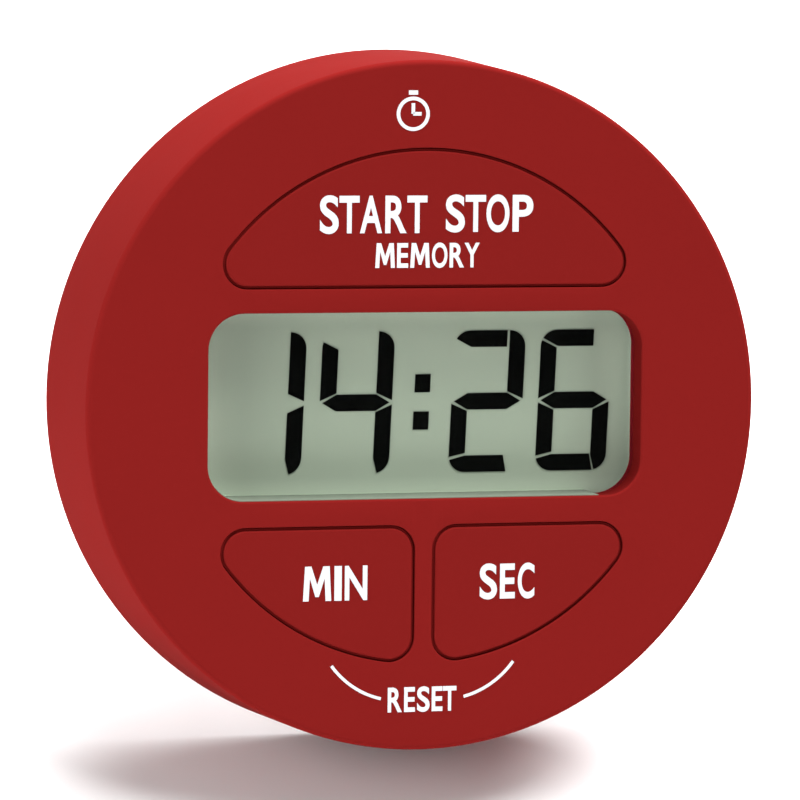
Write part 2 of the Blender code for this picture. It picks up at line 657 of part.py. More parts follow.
# ---- battery ----------------------------------------------------------------------------
def make_button_cell():
    """The cell: a stepped cap at the front and a flat can at the back."""
    cap = CELL_RADIUS - CELL_STEP * 1.5
    profile = [
        (cap, CELL_FRONT),
        (cap, CELL_FRONT + CELL_STEP / 2),
        (CELL_RADIUS, CELL_FRONT + CELL_STEP),
        (CELL_RADIUS, CELL_BACK - CELL_STEP / 3),
        (CELL_RADIUS - CELL_STEP / 3, CELL_BACK),
    ]
    return turned("button_cell", profile, ROUND_STEPS, 0, CELL_Z)


def make_contacts():
    """The spring strip under the cell and the bent strip against its side."""
    bottom, top = CELL_Z - CONTACT_WIDTH / 2, CELL_Z + CONTACT_WIDTH / 2
    strip_back = CELL_FRONT - GAP
    negative = box("cell_negative_contact", -CONTACT_REACH, CONTACT_REACH,
                   strip_back - CONTACT_THICKNESS, strip_back, bottom, top)
    inner = CELL_HOLE_RADIUS
    positive = box("cell_positive_contact", inner, inner + CONTACT_THICKNESS,
                   COMPONENT_FRONT, HUB_FRONT - GAP, bottom, top)
    add(positive, box("foot", inner, inner + CONTACT_WIDTH,
                      COMPONENT_FRONT, COMPONENT_FRONT + CONTACT_THICKNESS, bottom, top))
    return [negative, positive]


def make_battery_door():
    """The round door with a coin slot, a hub around the cell and two bayonet tabs."""
    inner_face = BODY_DEPTH - DOOR_THICKNESS
    profile = [
        (HUB_BORE, inner_face),
        (HUB_BORE, HUB_FRONT),
        (HUB_RADIUS, HUB_FRONT),
        (HUB_RADIUS, inner_face),
        (DOOR_RADIUS, inner_face),
        (DOOR_RADIUS, BODY_DEPTH - EDGE_CHAMFER),
        (DOOR_RADIUS - EDGE_CHAMFER, BODY_DEPTH),
    ]
    piece = turned("battery_door", profile, ROUND_STEPS, 0, CELL_Z)
    for side in (0, pi):
        add(piece, prism("tab", tab_outline(side, 0), HUB_FRONT, HUB_FRONT + DOOR_TAB_THICKNESS))
    half_length, half_width = COIN_SLOT_LENGTH / 2, COIN_SLOT_WIDTH / 2
    floor = BODY_DEPTH - COIN_SLOT_DEPTH
    cut(piece, box("slot", -half_length, half_length, floor, 2 * BODY_DEPTH,
                   CELL_Z - half_width, CELL_Z + half_width))
    return piece


# ---- magnet and sounder -----------------------------------------------------------------
def make_magnet():
    """The disc magnet, flush with the back."""
    front = BODY_DEPTH - MAGNET_THICKNESS
    return cylinder("magnet", 0, MAGNET_Z, MAGNET_RADIUS, front, BODY_DEPTH)


def make_sounder():
    """The brass disc behind the sound holes, its ceramic layer and two wires."""
    brass_front = COVER_FRONT - GAP - PIEZO_THICKNESS
    ceramic_front = brass_front - GAP - PIEZO_THICKNESS
    pieces = [
        cylinder("piezo_brass_disc", PIEZO_X, 0, PIEZO_RADIUS, brass_front, COVER_FRONT - GAP),
        cylinder("piezo_ceramic", PIEZO_X, 0, CERAMIC_RADIUS, ceramic_front, ceramic_front + PIEZO_THICKNESS),
    ]
    margin = GAP + WIRE_RADIUS
    pads = (
        ("piezo_wire_red", WIRE_PAD_Z, CERAMIC_RADIUS / 2, ceramic_front - margin),
        ("piezo_wire_black", -WIRE_PAD_Z, -(CERAMIC_RADIUS + PIEZO_RADIUS) / 2, brass_front - margin),
    )
    for name, pad_z, end_z, end_y in pads:
        pieces.append(make_wire(name, (WIRE_PAD_X, COMPONENT_FRONT, pad_z), (PIEZO_X, end_y, end_z)))
    return pieces


def make_wire(name, start, end):
    """A thin wire that leaves the board straight back and bends over to the sounder."""
    curve = bpy.data.curves.new(name, "CURVE")
    curve.dimensions = "3D"
    curve.bevel_depth = WIRE_RADIUS
    curve.bevel_resolution = 2
    curve.use_fill_caps = True
    spline = curve.splines.new("POLY")
    spline.points.add(WIRE_STEPS)
    for step, point in enumerate(spline.points):
        angle = pi / 2 * step / WIRE_STEPS
        x = start[0] + (end[0] - start[0]) * (1 - cos(angle))
        z = start[2] + (end[2] - start[2]) * (1 - cos(angle))
        y = start[1] + (end[1] - start[1]) * sin(angle)
        point.co = (x, y, z, 1)
    return new_object(name, curve)


# ---- stand leg --------------------------------------------------------------------------
def make_stand_leg():
    """The frame-shaped leg, folded flat in the back, with its hinge barrel and bore."""
    rear_edge = BODY_DEPTH - LEG_CHAMFER
    front_edge = LEG_FRONT + LEG_CHAMFER
    layers = [
        (leg_outline(-LEG_CHAMFER), LEG_FRONT),
        (leg_outline(0), front_edge),
        (leg_outline(0), rear_edge),
        (leg_outline(-LEG_CHAMFER), BODY_DEPTH),
    ]
    piece = lofted("stand_leg", layers)
    cut(piece, prism("window", leg_window(0), 0, 2 * BODY_DEPTH))
    add(piece, cross_bar("barrel", BARREL_RADIUS, LEG_HALF_WIDTH, HINGE_Y, HINGE_Z, ROUND_STEPS))
    cut(piece, cross_bar("bore", PIN_RADIUS + GAP, 2 * LEG_HALF_WIDTH, HINGE_Y, HINGE_Z))
    return piece


def make_hinge_pin():
    """The steel pin that the leg swings on."""
    half = LEG_HALF_WIDTH + LEG_GAP + PIN_SOCKET - GAP
    return cross_bar("hinge_pin", PIN_RADIUS, half, HINGE_Y, HINGE_Z)


# ---- materials --------------------------------------------------------------------------
def make_material(name, colour, roughness, metallic=0.0):
    """A Principled material with a plain colour."""
    material = bpy.data.materials.new(name)
    material.use_nodes = True
    shader = material.node_tree.nodes["Principled BSDF"]
    shader.inputs["Base Color"].default_value = (*colour, 1)
    shader.inputs["Roughness"].default_value = roughness
    shader.inputs["Metallic"].default_value = metallic
    return material


def material_plans():
    """Each material with the starts of the names of the pieces that wear it."""
    return [
        (make_material("red_soft_touch", (0.30, 0.018, 0.016), 0.55),
         ("front_housing", "start_stop_key", "min_key", "sec_key")),
        (make_material("red_plastic", (0.33, 0.020, 0.018), 0.42),
         ("rear_cover", "battery_door", "stand_leg")),
        (make_material("clear_plastic", (0.80, 0.85, 0.82), 0.05), ("display_lens",)),
        (make_material("display_glass", (0.30, 0.37, 0.28), 0.15), ("lcd_front_glass", "lcd_rear_glass")),
        (make_material("reflector_film", (0.42, 0.48, 0.38), 0.45), ("lcd_reflector",)),
        (make_material("white_plastic", (0.72, 0.72, 0.70), 0.50), ("lcd_holder",)),
        (make_material("silicone_rubber", (0.45, 0.45, 0.44), 0.60),
         ("start_stop_dome", "min_dome", "sec_dome", "lcd_zebra_strip")),
        (make_material("carbon_rubber", (0.015, 0.015, 0.015), 0.70),
         ("start_stop_pill", "min_pill", "sec_pill", "chip_cover")),
        (make_material("board_laminate", (0.02, 0.14, 0.05), 0.45), ("circuit_board",)),
        (make_material("bright_steel", (0.62, 0.62, 0.60), 0.28, 1.0),
         ("case_screw", "board_screw", "button_cell", "cell_", "hinge_pin", "quartz_crystal")),
        (make_material("nickel_magnet", (0.55, 0.54, 0.52), 0.22, 1.0), ("magnet",)),
        (make_material("brass_sheet", (0.75, 0.52, 0.20), 0.30, 1.0), ("piezo_brass_disc",)),
        (make_material("ceramic", (0.70, 0.68, 0.60), 0.40), ("piezo_ceramic", "board_capacitor")),
        (make_material("black_plastic", (0.02, 0.02, 0.02), 0.45), ("board_resistor", "piezo_wire_black")),
        (make_material("red_insulation", (0.50, 0.02, 0.02), 0.40), ("piezo_wire_red",)),
    ]


def paint(pieces):
    """Give every piece its material and smooth round shading."""
    plans = material_plans()
    for piece in pieces:
        for material, names in plans:
            if piece.name.startswith(names):
                piece.data.materials.clear()
                piece.data.materials.append(material)
        if piece.type == "MESH":
            piece.data.shade_smooth()
            piece.data.set_sharp_from_angle(angle=radians(35))


# ---- assembly ---------------------------------------------------------------------------
def move_origin(piece, origin):
    """Put the piece's origin on its joint axis without moving its surface."""
    piece.data.transform(Matrix.Translation(-Vector(origin)))
    piece.location = origin


def lean_angle():
    """The lean at which the rear rim's rounded edge and the open foot stand on one plane."""
    leans = []
    for inset in (BARREL_RADIUS - LEG_CHAMFER, BARREL_RADIUS - LEG_THICKNESS + LEG_CHAMFER):
        foot_z = HINGE_Z - LEG_LENGTH * cos(LEG_OPEN_ANGLE) + inset * sin(LEG_OPEN_ANGLE)
        foot_y = HINGE_Y + LEG_LENGTH * sin(LEG_OPEN_ANGLE) + inset * cos(LEG_OPEN_ANGLE)
        rise = foot_z + REAR_RADIUS - REAR_FILLET
        run = foot_y - BODY_DEPTH + REAR_FILLET
        leans.append(atan2(rise, run) + asin(REAR_FILLET / hypot(rise, run)))
    return min(leans)


def world_box(pieces):
    """Lowest and highest corners of all pieces as they stand."""
    bpy.context.view_layer.update()
    graph = bpy.context.evaluated_depsgraph_get()
    corners = []
    for piece in pieces:
        shape = piece.evaluated_get(graph)
        mesh = shape.to_mesh()
        corners += [shape.matrix_world @ vertex.co for vertex in mesh.vertices]
        shape.to_mesh_clear()
    low = Vector([min(corner[axis] for corner in corners) for axis in range(3)])
    high = Vector([max(corner[axis] for corner in corners) for axis in range(3)])
    return low, high


def stand_up(pieces):
    """Lean the body back onto its leg and bring the middle of its base to the origin."""
    body = bpy.data.objects.new("timer_body", None)
    bpy.context.scene.collection.objects.link(body)
    for piece in pieces:
        piece.parent = body
    body.rotation_euler.x = -lean_angle()
    low, high = world_box(pieces)
    middle = (low + high) / 2
    body.location = (-middle.x, -middle.y, -low.z)
    bpy.context.view_layer.update()


def build():
    """Make every piece, then assemble the timer."""
    for old in list(bpy.data.objects):
        bpy.data.objects.remove(old)
    pieces = [make_front_housing(), make_rear_cover(), make_display_lens(), make_lcd_holder()]
    pieces += make_display_glass()
    pieces.append(make_zebra_strip())
    for name, outline, dome_x, dome_z in key_plans():
        key = make_key(name + "_key", outline, dome_x, dome_z)
        move_origin(key, (dome_x, 0, dome_z))
        pieces += [key, make_dome(name + "_dome", dome_x, dome_z), make_pill(name + "_pill", dome_x, dome_z)]
    pieces.append(make_circuit_board())
    pieces += make_board_components()
    pieces += make_screws()
    pieces.append(make_button_cell())
    pieces += make_contacts()
    door = make_battery_door()
    move_origin(door, (0, BODY_DEPTH, CELL_Z))
    pieces.append(door)
    pieces.append(make_magnet())
    pieces += make_sounder()
    leg = make_stand_leg()
    move_origin(leg, (0, HINGE_Y, HINGE_Z))
    leg.rotation_euler.x = LEG_OPEN_ANGLE
    pieces += [leg, make_hinge_pin()]
    paint(pieces)
    stand_up(pieces)


build()
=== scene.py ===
"""Round digital kitchen timer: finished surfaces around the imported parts.

Every piece is modelled upright in the timer's own directions: x to the right, y from the face
(0) to the back, z up, with the face centre at the origin. As its last step it is leaned back
with the case. Lengths are in metres.
"""
import json
from math import atan2, cos, pi, radians, sin, sqrt

import bmesh
import bpy
from mathutils import Matrix, Vector


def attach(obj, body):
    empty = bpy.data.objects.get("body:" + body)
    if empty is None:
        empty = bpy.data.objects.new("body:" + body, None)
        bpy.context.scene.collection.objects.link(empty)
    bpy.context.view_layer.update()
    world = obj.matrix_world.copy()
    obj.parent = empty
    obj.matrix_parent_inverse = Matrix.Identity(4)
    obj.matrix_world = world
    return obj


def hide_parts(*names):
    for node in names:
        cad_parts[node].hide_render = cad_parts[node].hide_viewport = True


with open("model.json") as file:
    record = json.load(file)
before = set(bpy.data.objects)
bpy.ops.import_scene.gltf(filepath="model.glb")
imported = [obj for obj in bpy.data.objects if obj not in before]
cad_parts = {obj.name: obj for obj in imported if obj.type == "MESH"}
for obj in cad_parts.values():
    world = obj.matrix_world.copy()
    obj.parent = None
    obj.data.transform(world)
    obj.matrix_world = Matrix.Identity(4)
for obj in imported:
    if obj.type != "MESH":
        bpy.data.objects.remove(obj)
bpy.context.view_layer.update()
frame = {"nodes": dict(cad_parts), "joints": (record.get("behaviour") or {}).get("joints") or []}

JOINTS = {joint["name"]: joint for joint in frame["joints"]}

# ---- the timer's own directions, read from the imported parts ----
RIGHT = Vector((1, 0, 0))
BACK = Vector(JOINTS["start_stop_key_press"]["axis"]).normalized()
UP = RIGHT.cross(BACK)


def upright_box(node, origin):
    """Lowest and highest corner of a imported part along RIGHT, BACK and UP, from an origin."""
    places = [vertex.co - origin for vertex in frame["nodes"][node].data.vertices]
    spans = [[place.dot(direction) for place in places] for direction in (RIGHT, BACK, UP)]
    return Vector([min(span) for span in spans]), Vector([max(span) for span in spans])


def find_lean():
    """The matrix that leans an upright piece back with the case."""
    low, high = upright_box("front_housing", Vector())
    middle = (low + high) / 2
    face_centre = RIGHT * middle.x + BACK * low.y + UP * middle.z
    turn = Matrix((RIGHT, BACK, UP)).transposed().to_4x4()
    return Matrix.Translation(face_centre) @ turn


LEAN = find_lean()
FACE_CENTRE = LEAN.translation


def corners_of(node):
    """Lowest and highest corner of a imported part, upright, from the face centre."""
    return upright_box(node, FACE_CENTRE)


def middle_of(node):
    """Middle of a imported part, upright, from the face centre."""
    low, high = corners_of(node)
    return (low + high) / 2


# ---- case ----
FACE_RADIUS = 0.0304
REAR_RADIUS = corners_of("front_housing")[1].x
BODY_DEPTH = corners_of("front_housing")[1].y
FACE_FILLET = 0.0005
REAR_FILLET = 0.0006
BEHIND = 2 * BODY_DEPTH
FACE_THICKNESS = 0.0024
WALL_THICKNESS = 0.0018
CASE_BORE = FACE_RADIUS - WALL_THICKNESS
COVER_SEAT = 0.0007
COVER_THICKNESS = 0.0020
COVER_FRONT = BODY_DEPTH - COVER_THICKNESS
COVER_RADIUS = corners_of("rear_cover")[1].x
GAP = 0.0003
BOSS_RADIUS = 0.0020
BOSS_CIRCLE = middle_of("case_screw_top").z
SCREW_ANGLES = {"top": 90, "left": 210, "right": 330}
SCREW_BORE = 0.0010
BOARD_FRONT = corners_of("circuit_board")[0].y

# ---- display ----
WINDOW_WIDTH = 0.0395
WINDOW_HEIGHT = 0.01643
WINDOW_CORNER = 0.0032
WINDOW_X = 0.0002
LENS_Z = middle_of("display_lens").z
WINDOW_Z = LENS_Z - 0.00004
WINDOW_EDGE_ROUND = 0.00022
LENS_MARGIN = 0.0008
LENS_FRONT, LENS_BACK = (corner.y for corner in corners_of("display_lens"))
SURROUND_MARGIN = 0.00017
SURROUND_THICKNESS = 0.00012
GLASS_BACK = corners_of("lcd_front_glass")[1].y
FIGURE_THICKNESS = 0.00003
FILM_THICKNESS = 0.00006
FILM_FRONT = GLASS_BACK + 0.00010
LIP_FRONT = 0.00030
LIP_RISE = 0.0012

# ---- figures on the display ----
FIGURE_HALF_WIDTH = 0.00330
FIGURE_HALF_HEIGHT = 0.00631
SEGMENT_WIDTH = 0.00148
SEGMENT_GAP = 0.00011
FIGURE_Z = 0.00002
FIGURE_PITCH = 0.00805
FIGURES_MIDDLE = 0.00100
INNER_FIGURE_X = 0.00604
FIGURE_SLANT = 0.040
COLON_WIDTH = 0.00143
COLON_HEIGHT = 0.00162
COLON_REACH = 0.00166

# ---- keys ----
KEY_RADIUS = 0.0226
KEY_GROOVE = 0.00028
KEY_CORNER = 0.0021
KEY_RIB_HALF = 0.00092
UPPER_KEY_EDGE = LENS_Z + 0.01042
LOWER_KEY_EDGE = 0.01068 - LENS_Z
KEY_ROUND = 0.00015
OPENING_ROUND = 0.00010
GROOVE_DEPTH = 0.00034
SHOULDER_GAP = 0.00008
FLANGE_OVERLAP = 0.00045
FLANGE_FRONT = FACE_THICKNESS + GAP
FLANGE_THICKNESS = 0.0008
PLUNGER_RADIUS = 0.0020

# ---- back ----
CELL_Z = middle_of("battery_door").z
DOOR_RADIUS = corners_of("battery_door")[1].x
DOOR_THICKNESS = 0.0012
DOOR_TAB_ANGLE = 34
DOOR_TURN = radians(JOINTS["battery_door_turn"]["range_deg"][1])
DOOR_TAB_THICKNESS = 0.0008
LEDGE_REAR = BODY_DEPTH - DOOR_THICKNESS - GAP
LEDGE_FRONT = LEDGE_REAR - 0.0008
HUB_RADIUS = 0.0066
HUB_BORE = 0.0061
HUB_FRONT = LEDGE_FRONT - GAP - DOOR_TAB_THICKNESS
TAB_RADIUS = 0.0078
WELL_RADIUS = 0.0081
COIN_SLOT_LENGTH = 0.0110
COIN_SLOT_WIDTH = 0.0014
COIN_SLOT_DEPTH = 0.0006
MARK_FLOOR = BODY_DEPTH - 0.00025
MARK_RADIUS = 0.00035
MARK_DISTANCE = 0.0011
POINTER_HALF = 0.0005
MAGNET_Z = middle_of("magnet").z
MAGNET_RADIUS = corners_of("magnet")[1].x
MAGNET_THICKNESS = 0.0020
SOUNDER_X = middle_of("piezo_brass_disc").x
SOUND_HOLE_RADIUS = 0.0005
SOUND_HOLE_PITCH = 0.0022
SCREW_HEAD_RADIUS = 0.0017
SCREW_HEAD_THICKNESS = 0.0008
SCREW_HEAD_SINK = 0.0003
SCREW_SHANK_RADIUS = 0.0007
SCREW_LENGTH = 0.0050

# ---- stand leg ----
LEG_OPEN = radians(JOINTS["stand_leg_fold"]["range_deg"][1])
HINGE = LEAN.inverted() @ Vector(JOINTS["stand_leg_fold"]["pos_m"])
LEG_HALF_WIDTH = corners_of("stand_leg")[1].x
LEG_ARM_WIDTH = 0.0030
LEG_INNER_HALF = LEG_HALF_WIDTH - LEG_ARM_WIDTH
LEG_BOTTOM = -0.02602
LEG_FOOT_HEIGHT = 0.0040
LEG_THICKNESS = 0.0024
LEG_FOOT_CORNER = 0.0060
LEG_WINDOW_CORNER = 0.0030
LEG_EDGE_ROUND = 0.0003
LEG_GAP = 0.0004
LEG_FRONT = BODY_DEPTH - LEG_THICKNESS
BARREL_RADIUS = 0.0015
PIN_RADIUS = 0.0006
PIN_SOCKET = 0.0008
COVER_BLOCK_WALL = 0.0009
COVER_BLOCK_FRONT = COVER_FRONT - 0.0023
THUMB_NOTCH_RADIUS = 0.0045
THUMB_NOTCH_DEPTH = 0.0013
THUMB_NOTCH_Z = -0.0120
GRIP_RIBS = 5
GRIP_RIB_PITCH = 0.0022
GRIP_RIB_LENGTH = 0.0022
GRIP_RIB_WIDTH = 0.0006

# ---- printing ----
INK_THICKNESS = 0.00003
LINE_WIDTH = 0.00027
RESET_ARC_X = 0.0019
RESET_ARC_Z = -0.0180
RESET_ARC_RADIUS = 0.00795
RESET_ARC_START = radians(143.8)
RESET_ARC_END = radians(103.8)

CLOCK_SIGN_X = -0.0014
CLOCK_SIGN_Z = 0.0257
CLOCK_SIGN_RADIUS = 0.00150
CLOCK_SIGN_LINE = 0.00032

# Letter widths and spaces are in letter heights; a word has its body, left, right, bottom and top.
LETTER_WIDTHS = {"S": 0.51, "T": 0.545, "A": 0.60, "R": 0.58, "O": 0.615, "P": 0.555, "M": 0.775,
                 "E": 0.44, "Y": 0.60, "I": 0.20, "N": 0.62, "C": 0.49}
WORDS = {
    "START": ("start_stop_key", -0.00974, -0.00003, 0.01528, 0.01856),
    "STOP": ("start_stop_key", 0.00166, 0.00966, 0.01536, 0.01860),
    "MEMORY": ("start_stop_key", -0.00470, 0.00478, 0.01224, 0.01441),
    "MIN": ("min_key", -0.01095, -0.00513, -0.01694, -0.01388),
    "SEC": ("sec_key", 0.00515, 0.01020, -0.01710, -0.01399),
    "RESET": ("case", -0.00316, 0.00312, -0.02696, -0.02476),
}
LETTER_SPACE = 0.085
TIGHT_SPACE = 0.015
LETTER_WEIGHT = 0.023
LETTER_OVERSHOOT = 0.015
M_CORNERS = [(0, 0), (0.05, 1), (0.225, 1), (0.3875, 0.47), (0.55, 1), (0.725, 1), (0.775, 0),
             (0.62, 0), (0.59, 0.66), (0.435, 0.12), (0.34, 0.12), (0.185, 0.66), (0.155, 0)]

# ---- facets ----
RIM_STEPS = 192
ARC_STEPS = 48
CORNER_STEPS = 14
POST_STEPS = 2 * CORNER_STEPS
ROUND_STEPS = 48
FINE_STEPS = 4
SOFT_EDGE_ANGLE = radians(50)
SHARP_EDGE_ANGLE = radians(28)


# ---- modelling by hand ----
def pick_only(piece):
    """Leave object mode clear of any other selection, with this piece active."""
    bpy.ops.object.select_all(action="DESELECT")
    piece.select_set(True)
    bpy.context.view_layer.objects.active = piece


def start_outline(x, y, z):
    """Begin a line drawing: a plane merged to one vertex, at the first point."""
    bpy.ops.object.select_all(action="DESELECT")
    bpy.ops.mesh.primitive_plane_add(size=0.001)
    bpy.ops.object.mode_set(mode="EDIT")
    bpy.ops.mesh.select_mode(type="VERT")
    bpy.ops.mesh.merge(type="CENTER")
    bpy.ops.transform.translate(value=(x, y, z))


def pen():
    """Where the drawing has come to."""
    drawing = bmesh.from_edit_mesh(bpy.context.edit_object.data)
    return next(vertex.co.copy() for vertex in drawing.verts if vertex.select)


def line_to(x, y, z):
    """Draw a straight line on to a point."""
    bpy.ops.mesh.extrude_region_move(TRANSFORM_OT_translate={"value": Vector((x, y, z)) - pen()})


def arc_about(x, y, z, turn, axis=(0, 1, 0), steps=CORNER_STEPS):
    """Draw an arc on from the pen about a centre; the operator turns against the right-hand rule."""
    bpy.ops.mesh.spin(steps=steps, angle=-turn, center=(x, y, z), axis=axis)


def close_outline():
    """Join the drawing's ends and fill it with one face."""
    bpy.ops.mesh.select_all(action="SELECT")
    bpy.ops.mesh.remove_doubles(threshold=0.000002)
    bpy.ops.mesh.edge_face_add()
    bpy.ops.mesh.select_mode(type="FACE")


def push(depth):
    """Extrude the picked face along y."""
    bpy.ops.mesh.extrude_region_move(TRANSFORM_OT_translate={"value": (0, depth, 0)})


def roll_over(radius, steps=FINE_STEPS, hollow=False):
    """Round the edge of the picked end face, outwards or as a hollow for the mouth of a cutter."""
    for step in range(steps):
        before, after = pi / 2 * step / steps, pi / 2 * (step + 1) / steps
        flat = radius * (cos(before) - cos(after))
        steep = radius * (sin(after) - sin(before))
        bpy.ops.mesh.inset(thickness=steep if hollow else flat, depth=flat if hollow else steep)


def finish_shape():
    """Close the mesh, turn its faces outwards and leave edit mode."""
    bpy.ops.mesh.select_all(action="SELECT")
    bpy.ops.mesh.remove_doubles(threshold=0.000002)
    bpy.ops.mesh.normals_make_consistent(inside=False)
    bpy.ops.object.mode_set(mode="OBJECT")
    return bpy.context.object


def solid(depth):
    """Extrude the picked face along y and finish the shape."""
    push(depth)
    return finish_shape()


def apply_modifier(piece, kind, **settings):
    """Change the piece with one modifier, applied."""
    pick_only(piece)
    step = piece.modifiers.new(kind, kind)
    for setting, value in settings.items():
        setattr(step, setting, value)
    bpy.ops.object.modifier_apply(modifier=step.name)


def cut(piece, tool, operation="DIFFERENCE"):
    """Take a helper away from the piece."""
    apply_modifier(piece, "BOOLEAN", operation=operation, object=tool)
    bpy.data.objects.remove(tool)


def weld(piece, tool):
    """Melt a helper into the piece."""
    cut(piece, tool, "UNION")


def soften_edges(piece, width, steps):
    """Round every edge sharper than SOFT_EDGE_ANGLE."""
    apply_modifier(piece, "BEVEL", width=width, segments=steps, limit_method="ANGLE",
                   angle_limit=SOFT_EDGE_ANGLE)


def smooth(piece):
    """Shade round surfaces smooth and keep real edges; the large flat faces lead the shading."""
    pick_only(piece)
    bpy.ops.object.shade_smooth_by_angle(angle=SHARP_EDGE_ANGLE)
    apply_modifier(piece, "WEIGHTED_NORMAL", keep_sharp=True)


def place(piece, name, body, finish, replaces=(), slot=None, turn=Matrix.Identity(4)):
    """Name a finished upright piece, lean it back with the case and hand it to its body."""
    piece.name = name
    piece.data.transform(LEAN @ turn)
    piece.data.materials.clear()
    piece.data.materials.append(FINISHES[finish])
    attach(piece, body)
    if replaces:
        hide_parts(*replaces)


def copy_of(piece):
    """A copy with its own mesh."""
    twin = piece.copy()
    twin.data = piece.data.copy()
    bpy.context.scene.collection.objects.link(twin)
    return twin


def join(pieces):
    """Join pieces into the first one."""
    pick_only(pieces[0])
    for piece in pieces[1:]:
        piece.select_set(True)
    bpy.ops.object.join()
    return pieces[0]


def turned(profile, steps=ROUND_STEPS, z=0.0):
    """Turn a drawn profile of (radius, y) corners about an axis along y."""
    radius, y = profile[0]
    start_outline(radius, y, z)
    for radius, y in profile[1:]:
        line_to(radius, y, z)
    bpy.ops.mesh.select_all(action="SELECT")
    bpy.ops.mesh.spin(steps=steps, angle=2 * pi, center=(0, 0, z), axis=(0, 1, 0))
    return finish_shape()


def rod(middle, turn, radius, length, steps):
    """A round rod, upright until it is turned."""
    bpy.ops.object.select_all(action="DESELECT")
    bpy.ops.mesh.primitive_cylinder_add(vertices=steps, radius=radius, depth=length, location=middle,
                                        rotation=turn)
    bpy.ops.object.transform_apply(location=True, rotation=True, scale=True)
    return bpy.context.object


def bar(x, z, radius, front, back, steps=ROUND_STEPS):
    """A round cutter or post along y."""
    return rod((x, (front + back) / 2, z), (pi / 2, 0, 0), radius, back - front, steps)


def cross_bar(radius, half_length):
    """A round cutter or post along x through the leg's hinge."""
    return rod((0, HINGE.y, HINGE.z), (0, pi / 2, 0), radius, 2 * half_length, POST_STEPS)


def at_angle(reach, angle, middle_z=0.0):
    """Where a point stands at an angle in radians about a middle on the centre line."""
    return reach * cos(angle), middle_z + reach * sin(angle)


def block(left, right, front, back, bottom, top):
    """A square cutter."""
    start_outline(left, front, bottom)
    line_to(right, front, bottom)
    line_to(right, front, top)
    line_to(left, front, top)
    close_outline()
    return solid(back - front)


# ---- outlines drawn at one depth ----
def draw_rounded_rectangle(left, right, bottom, top, low_corner, high_corner, y):
    """A rectangle whose bottom and top corners have their own radii."""
    start_outline(left + low_corner, y, bottom)
    line_to(right - low_corner, y, bottom)
    arc_about(right - low_corner, y, bottom + low_corner, -pi / 2)
    line_to(right, y, top - high_corner)
    arc_about(right - high_corner, y, top - high_corner, -pi / 2)
    line_to(left + high_corner, y, top)
    arc_about(left + high_corner, y, top - high_corner, -pi / 2)
    line_to(left, y, bottom + low_corner)
    arc_about(left + low_corner, y, bottom + low_corner, -pi / 2)
    close_outline()


def draw_window(grow, y):
    """The display opening's outline."""
    half_width, half_height = WINDOW_WIDTH / 2 + grow, WINDOW_HEIGHT / 2 + grow
    corner = WINDOW_CORNER + grow
    draw_rounded_rectangle(WINDOW_X - half_width, WINDOW_X + half_width, WINDOW_Z - half_height,
                           WINDOW_Z + half_height, corner, corner, y)


def draw_upper_key(grow, y):
    """The slice of a disc above a level edge; grow = 0 runs along the middle of its groove."""
    corner_z = UPPER_KEY_EDGE + KEY_CORNER
    corner_x = sqrt((KEY_RADIUS - KEY_CORNER) ** 2 - corner_z ** 2)
    lean = atan2(corner_z, corner_x)
    start_outline(-corner_x, y, UPPER_KEY_EDGE - grow)
    line_to(corner_x, y, UPPER_KEY_EDGE - grow)
    arc_about(corner_x, y, corner_z, -(pi / 2 + lean))
    arc_about(0, y, 0, -(pi - 2 * lean), steps=ARC_STEPS)
    arc_about(-corner_x, y, corner_z, -(pi / 2 + lean))
    close_outline()


def draw_lower_key(side, grow, y):
    """A quarter slice below a level edge; side is -1 for the left key and 1 for the right."""
    corner_z = LOWER_KEY_EDGE + KEY_CORNER
    reach = KEY_RADIUS - KEY_CORNER
    outer_x = sqrt(reach ** 2 - corner_z ** 2)
    inner_x = KEY_RIB_HALF + KEY_CORNER
    low_z = sqrt(reach ** 2 - inner_x ** 2)
    outer_lean, low_lean = atan2(corner_z, outer_x), atan2(low_z, inner_x)
    start_outline(side * inner_x, y, grow - LOWER_KEY_EDGE)
    line_to(side * outer_x, y, grow - LOWER_KEY_EDGE)
    arc_about(side * outer_x, y, -corner_z, side * (pi / 2 + outer_lean))
    arc_about(0, y, 0, side * (low_lean - outer_lean), steps=ARC_STEPS)
    arc_about(side * inner_x, y, -low_z, side * (pi - low_lean))
    line_to(side * (KEY_RIB_HALF - grow), y, -corner_z)
    arc_about(side * inner_x, y, -corner_z, side * pi / 2)
    close_outline()


def draw_leg(grow, top, y):
    """The folded leg's outer outline."""
    draw_rounded_rectangle(-LEG_HALF_WIDTH - grow, LEG_HALF_WIDTH + grow, LEG_BOTTOM - grow,
                           top + grow, LEG_FOOT_CORNER + grow, LEG_EDGE_ROUND + grow, y)


def draw_leg_window(grow, y):
    """The opening inside the leg."""
    corner = LEG_WINDOW_CORNER + grow
    draw_rounded_rectangle(-LEG_INNER_HALF - grow, LEG_INNER_HALF + grow,
                           LEG_BOTTOM + LEG_FOOT_HEIGHT - grow, HINGE.z - BARREL_RADIUS + grow,
                           corner, corner, y)


# ---- shared effects in the materials ----
def add_socket(group, label, direction):
    """A group's socket, which holds a vector, a colour or a number as its label says."""
    kind = "Vector" if label == "Vector" else "Color" if label.endswith("Colour") else "Float"
    group.interface.new_socket(label, in_out=direction, socket_type="NodeSocket" + kind)


def start_group(name, labels, output):
    """An empty node group that takes a vector and the labelled values, with its one result."""
    group = bpy.data.node_groups.new(name, "ShaderNodeTree")
    for label in ("Vector", *labels):
        add_socket(group, label, "INPUT")
    add_socket(group, output, "OUTPUT")
    given = group.nodes.new("NodeGroupInput").outputs
    return group, given, group.nodes.new("NodeGroupOutput").inputs[output]


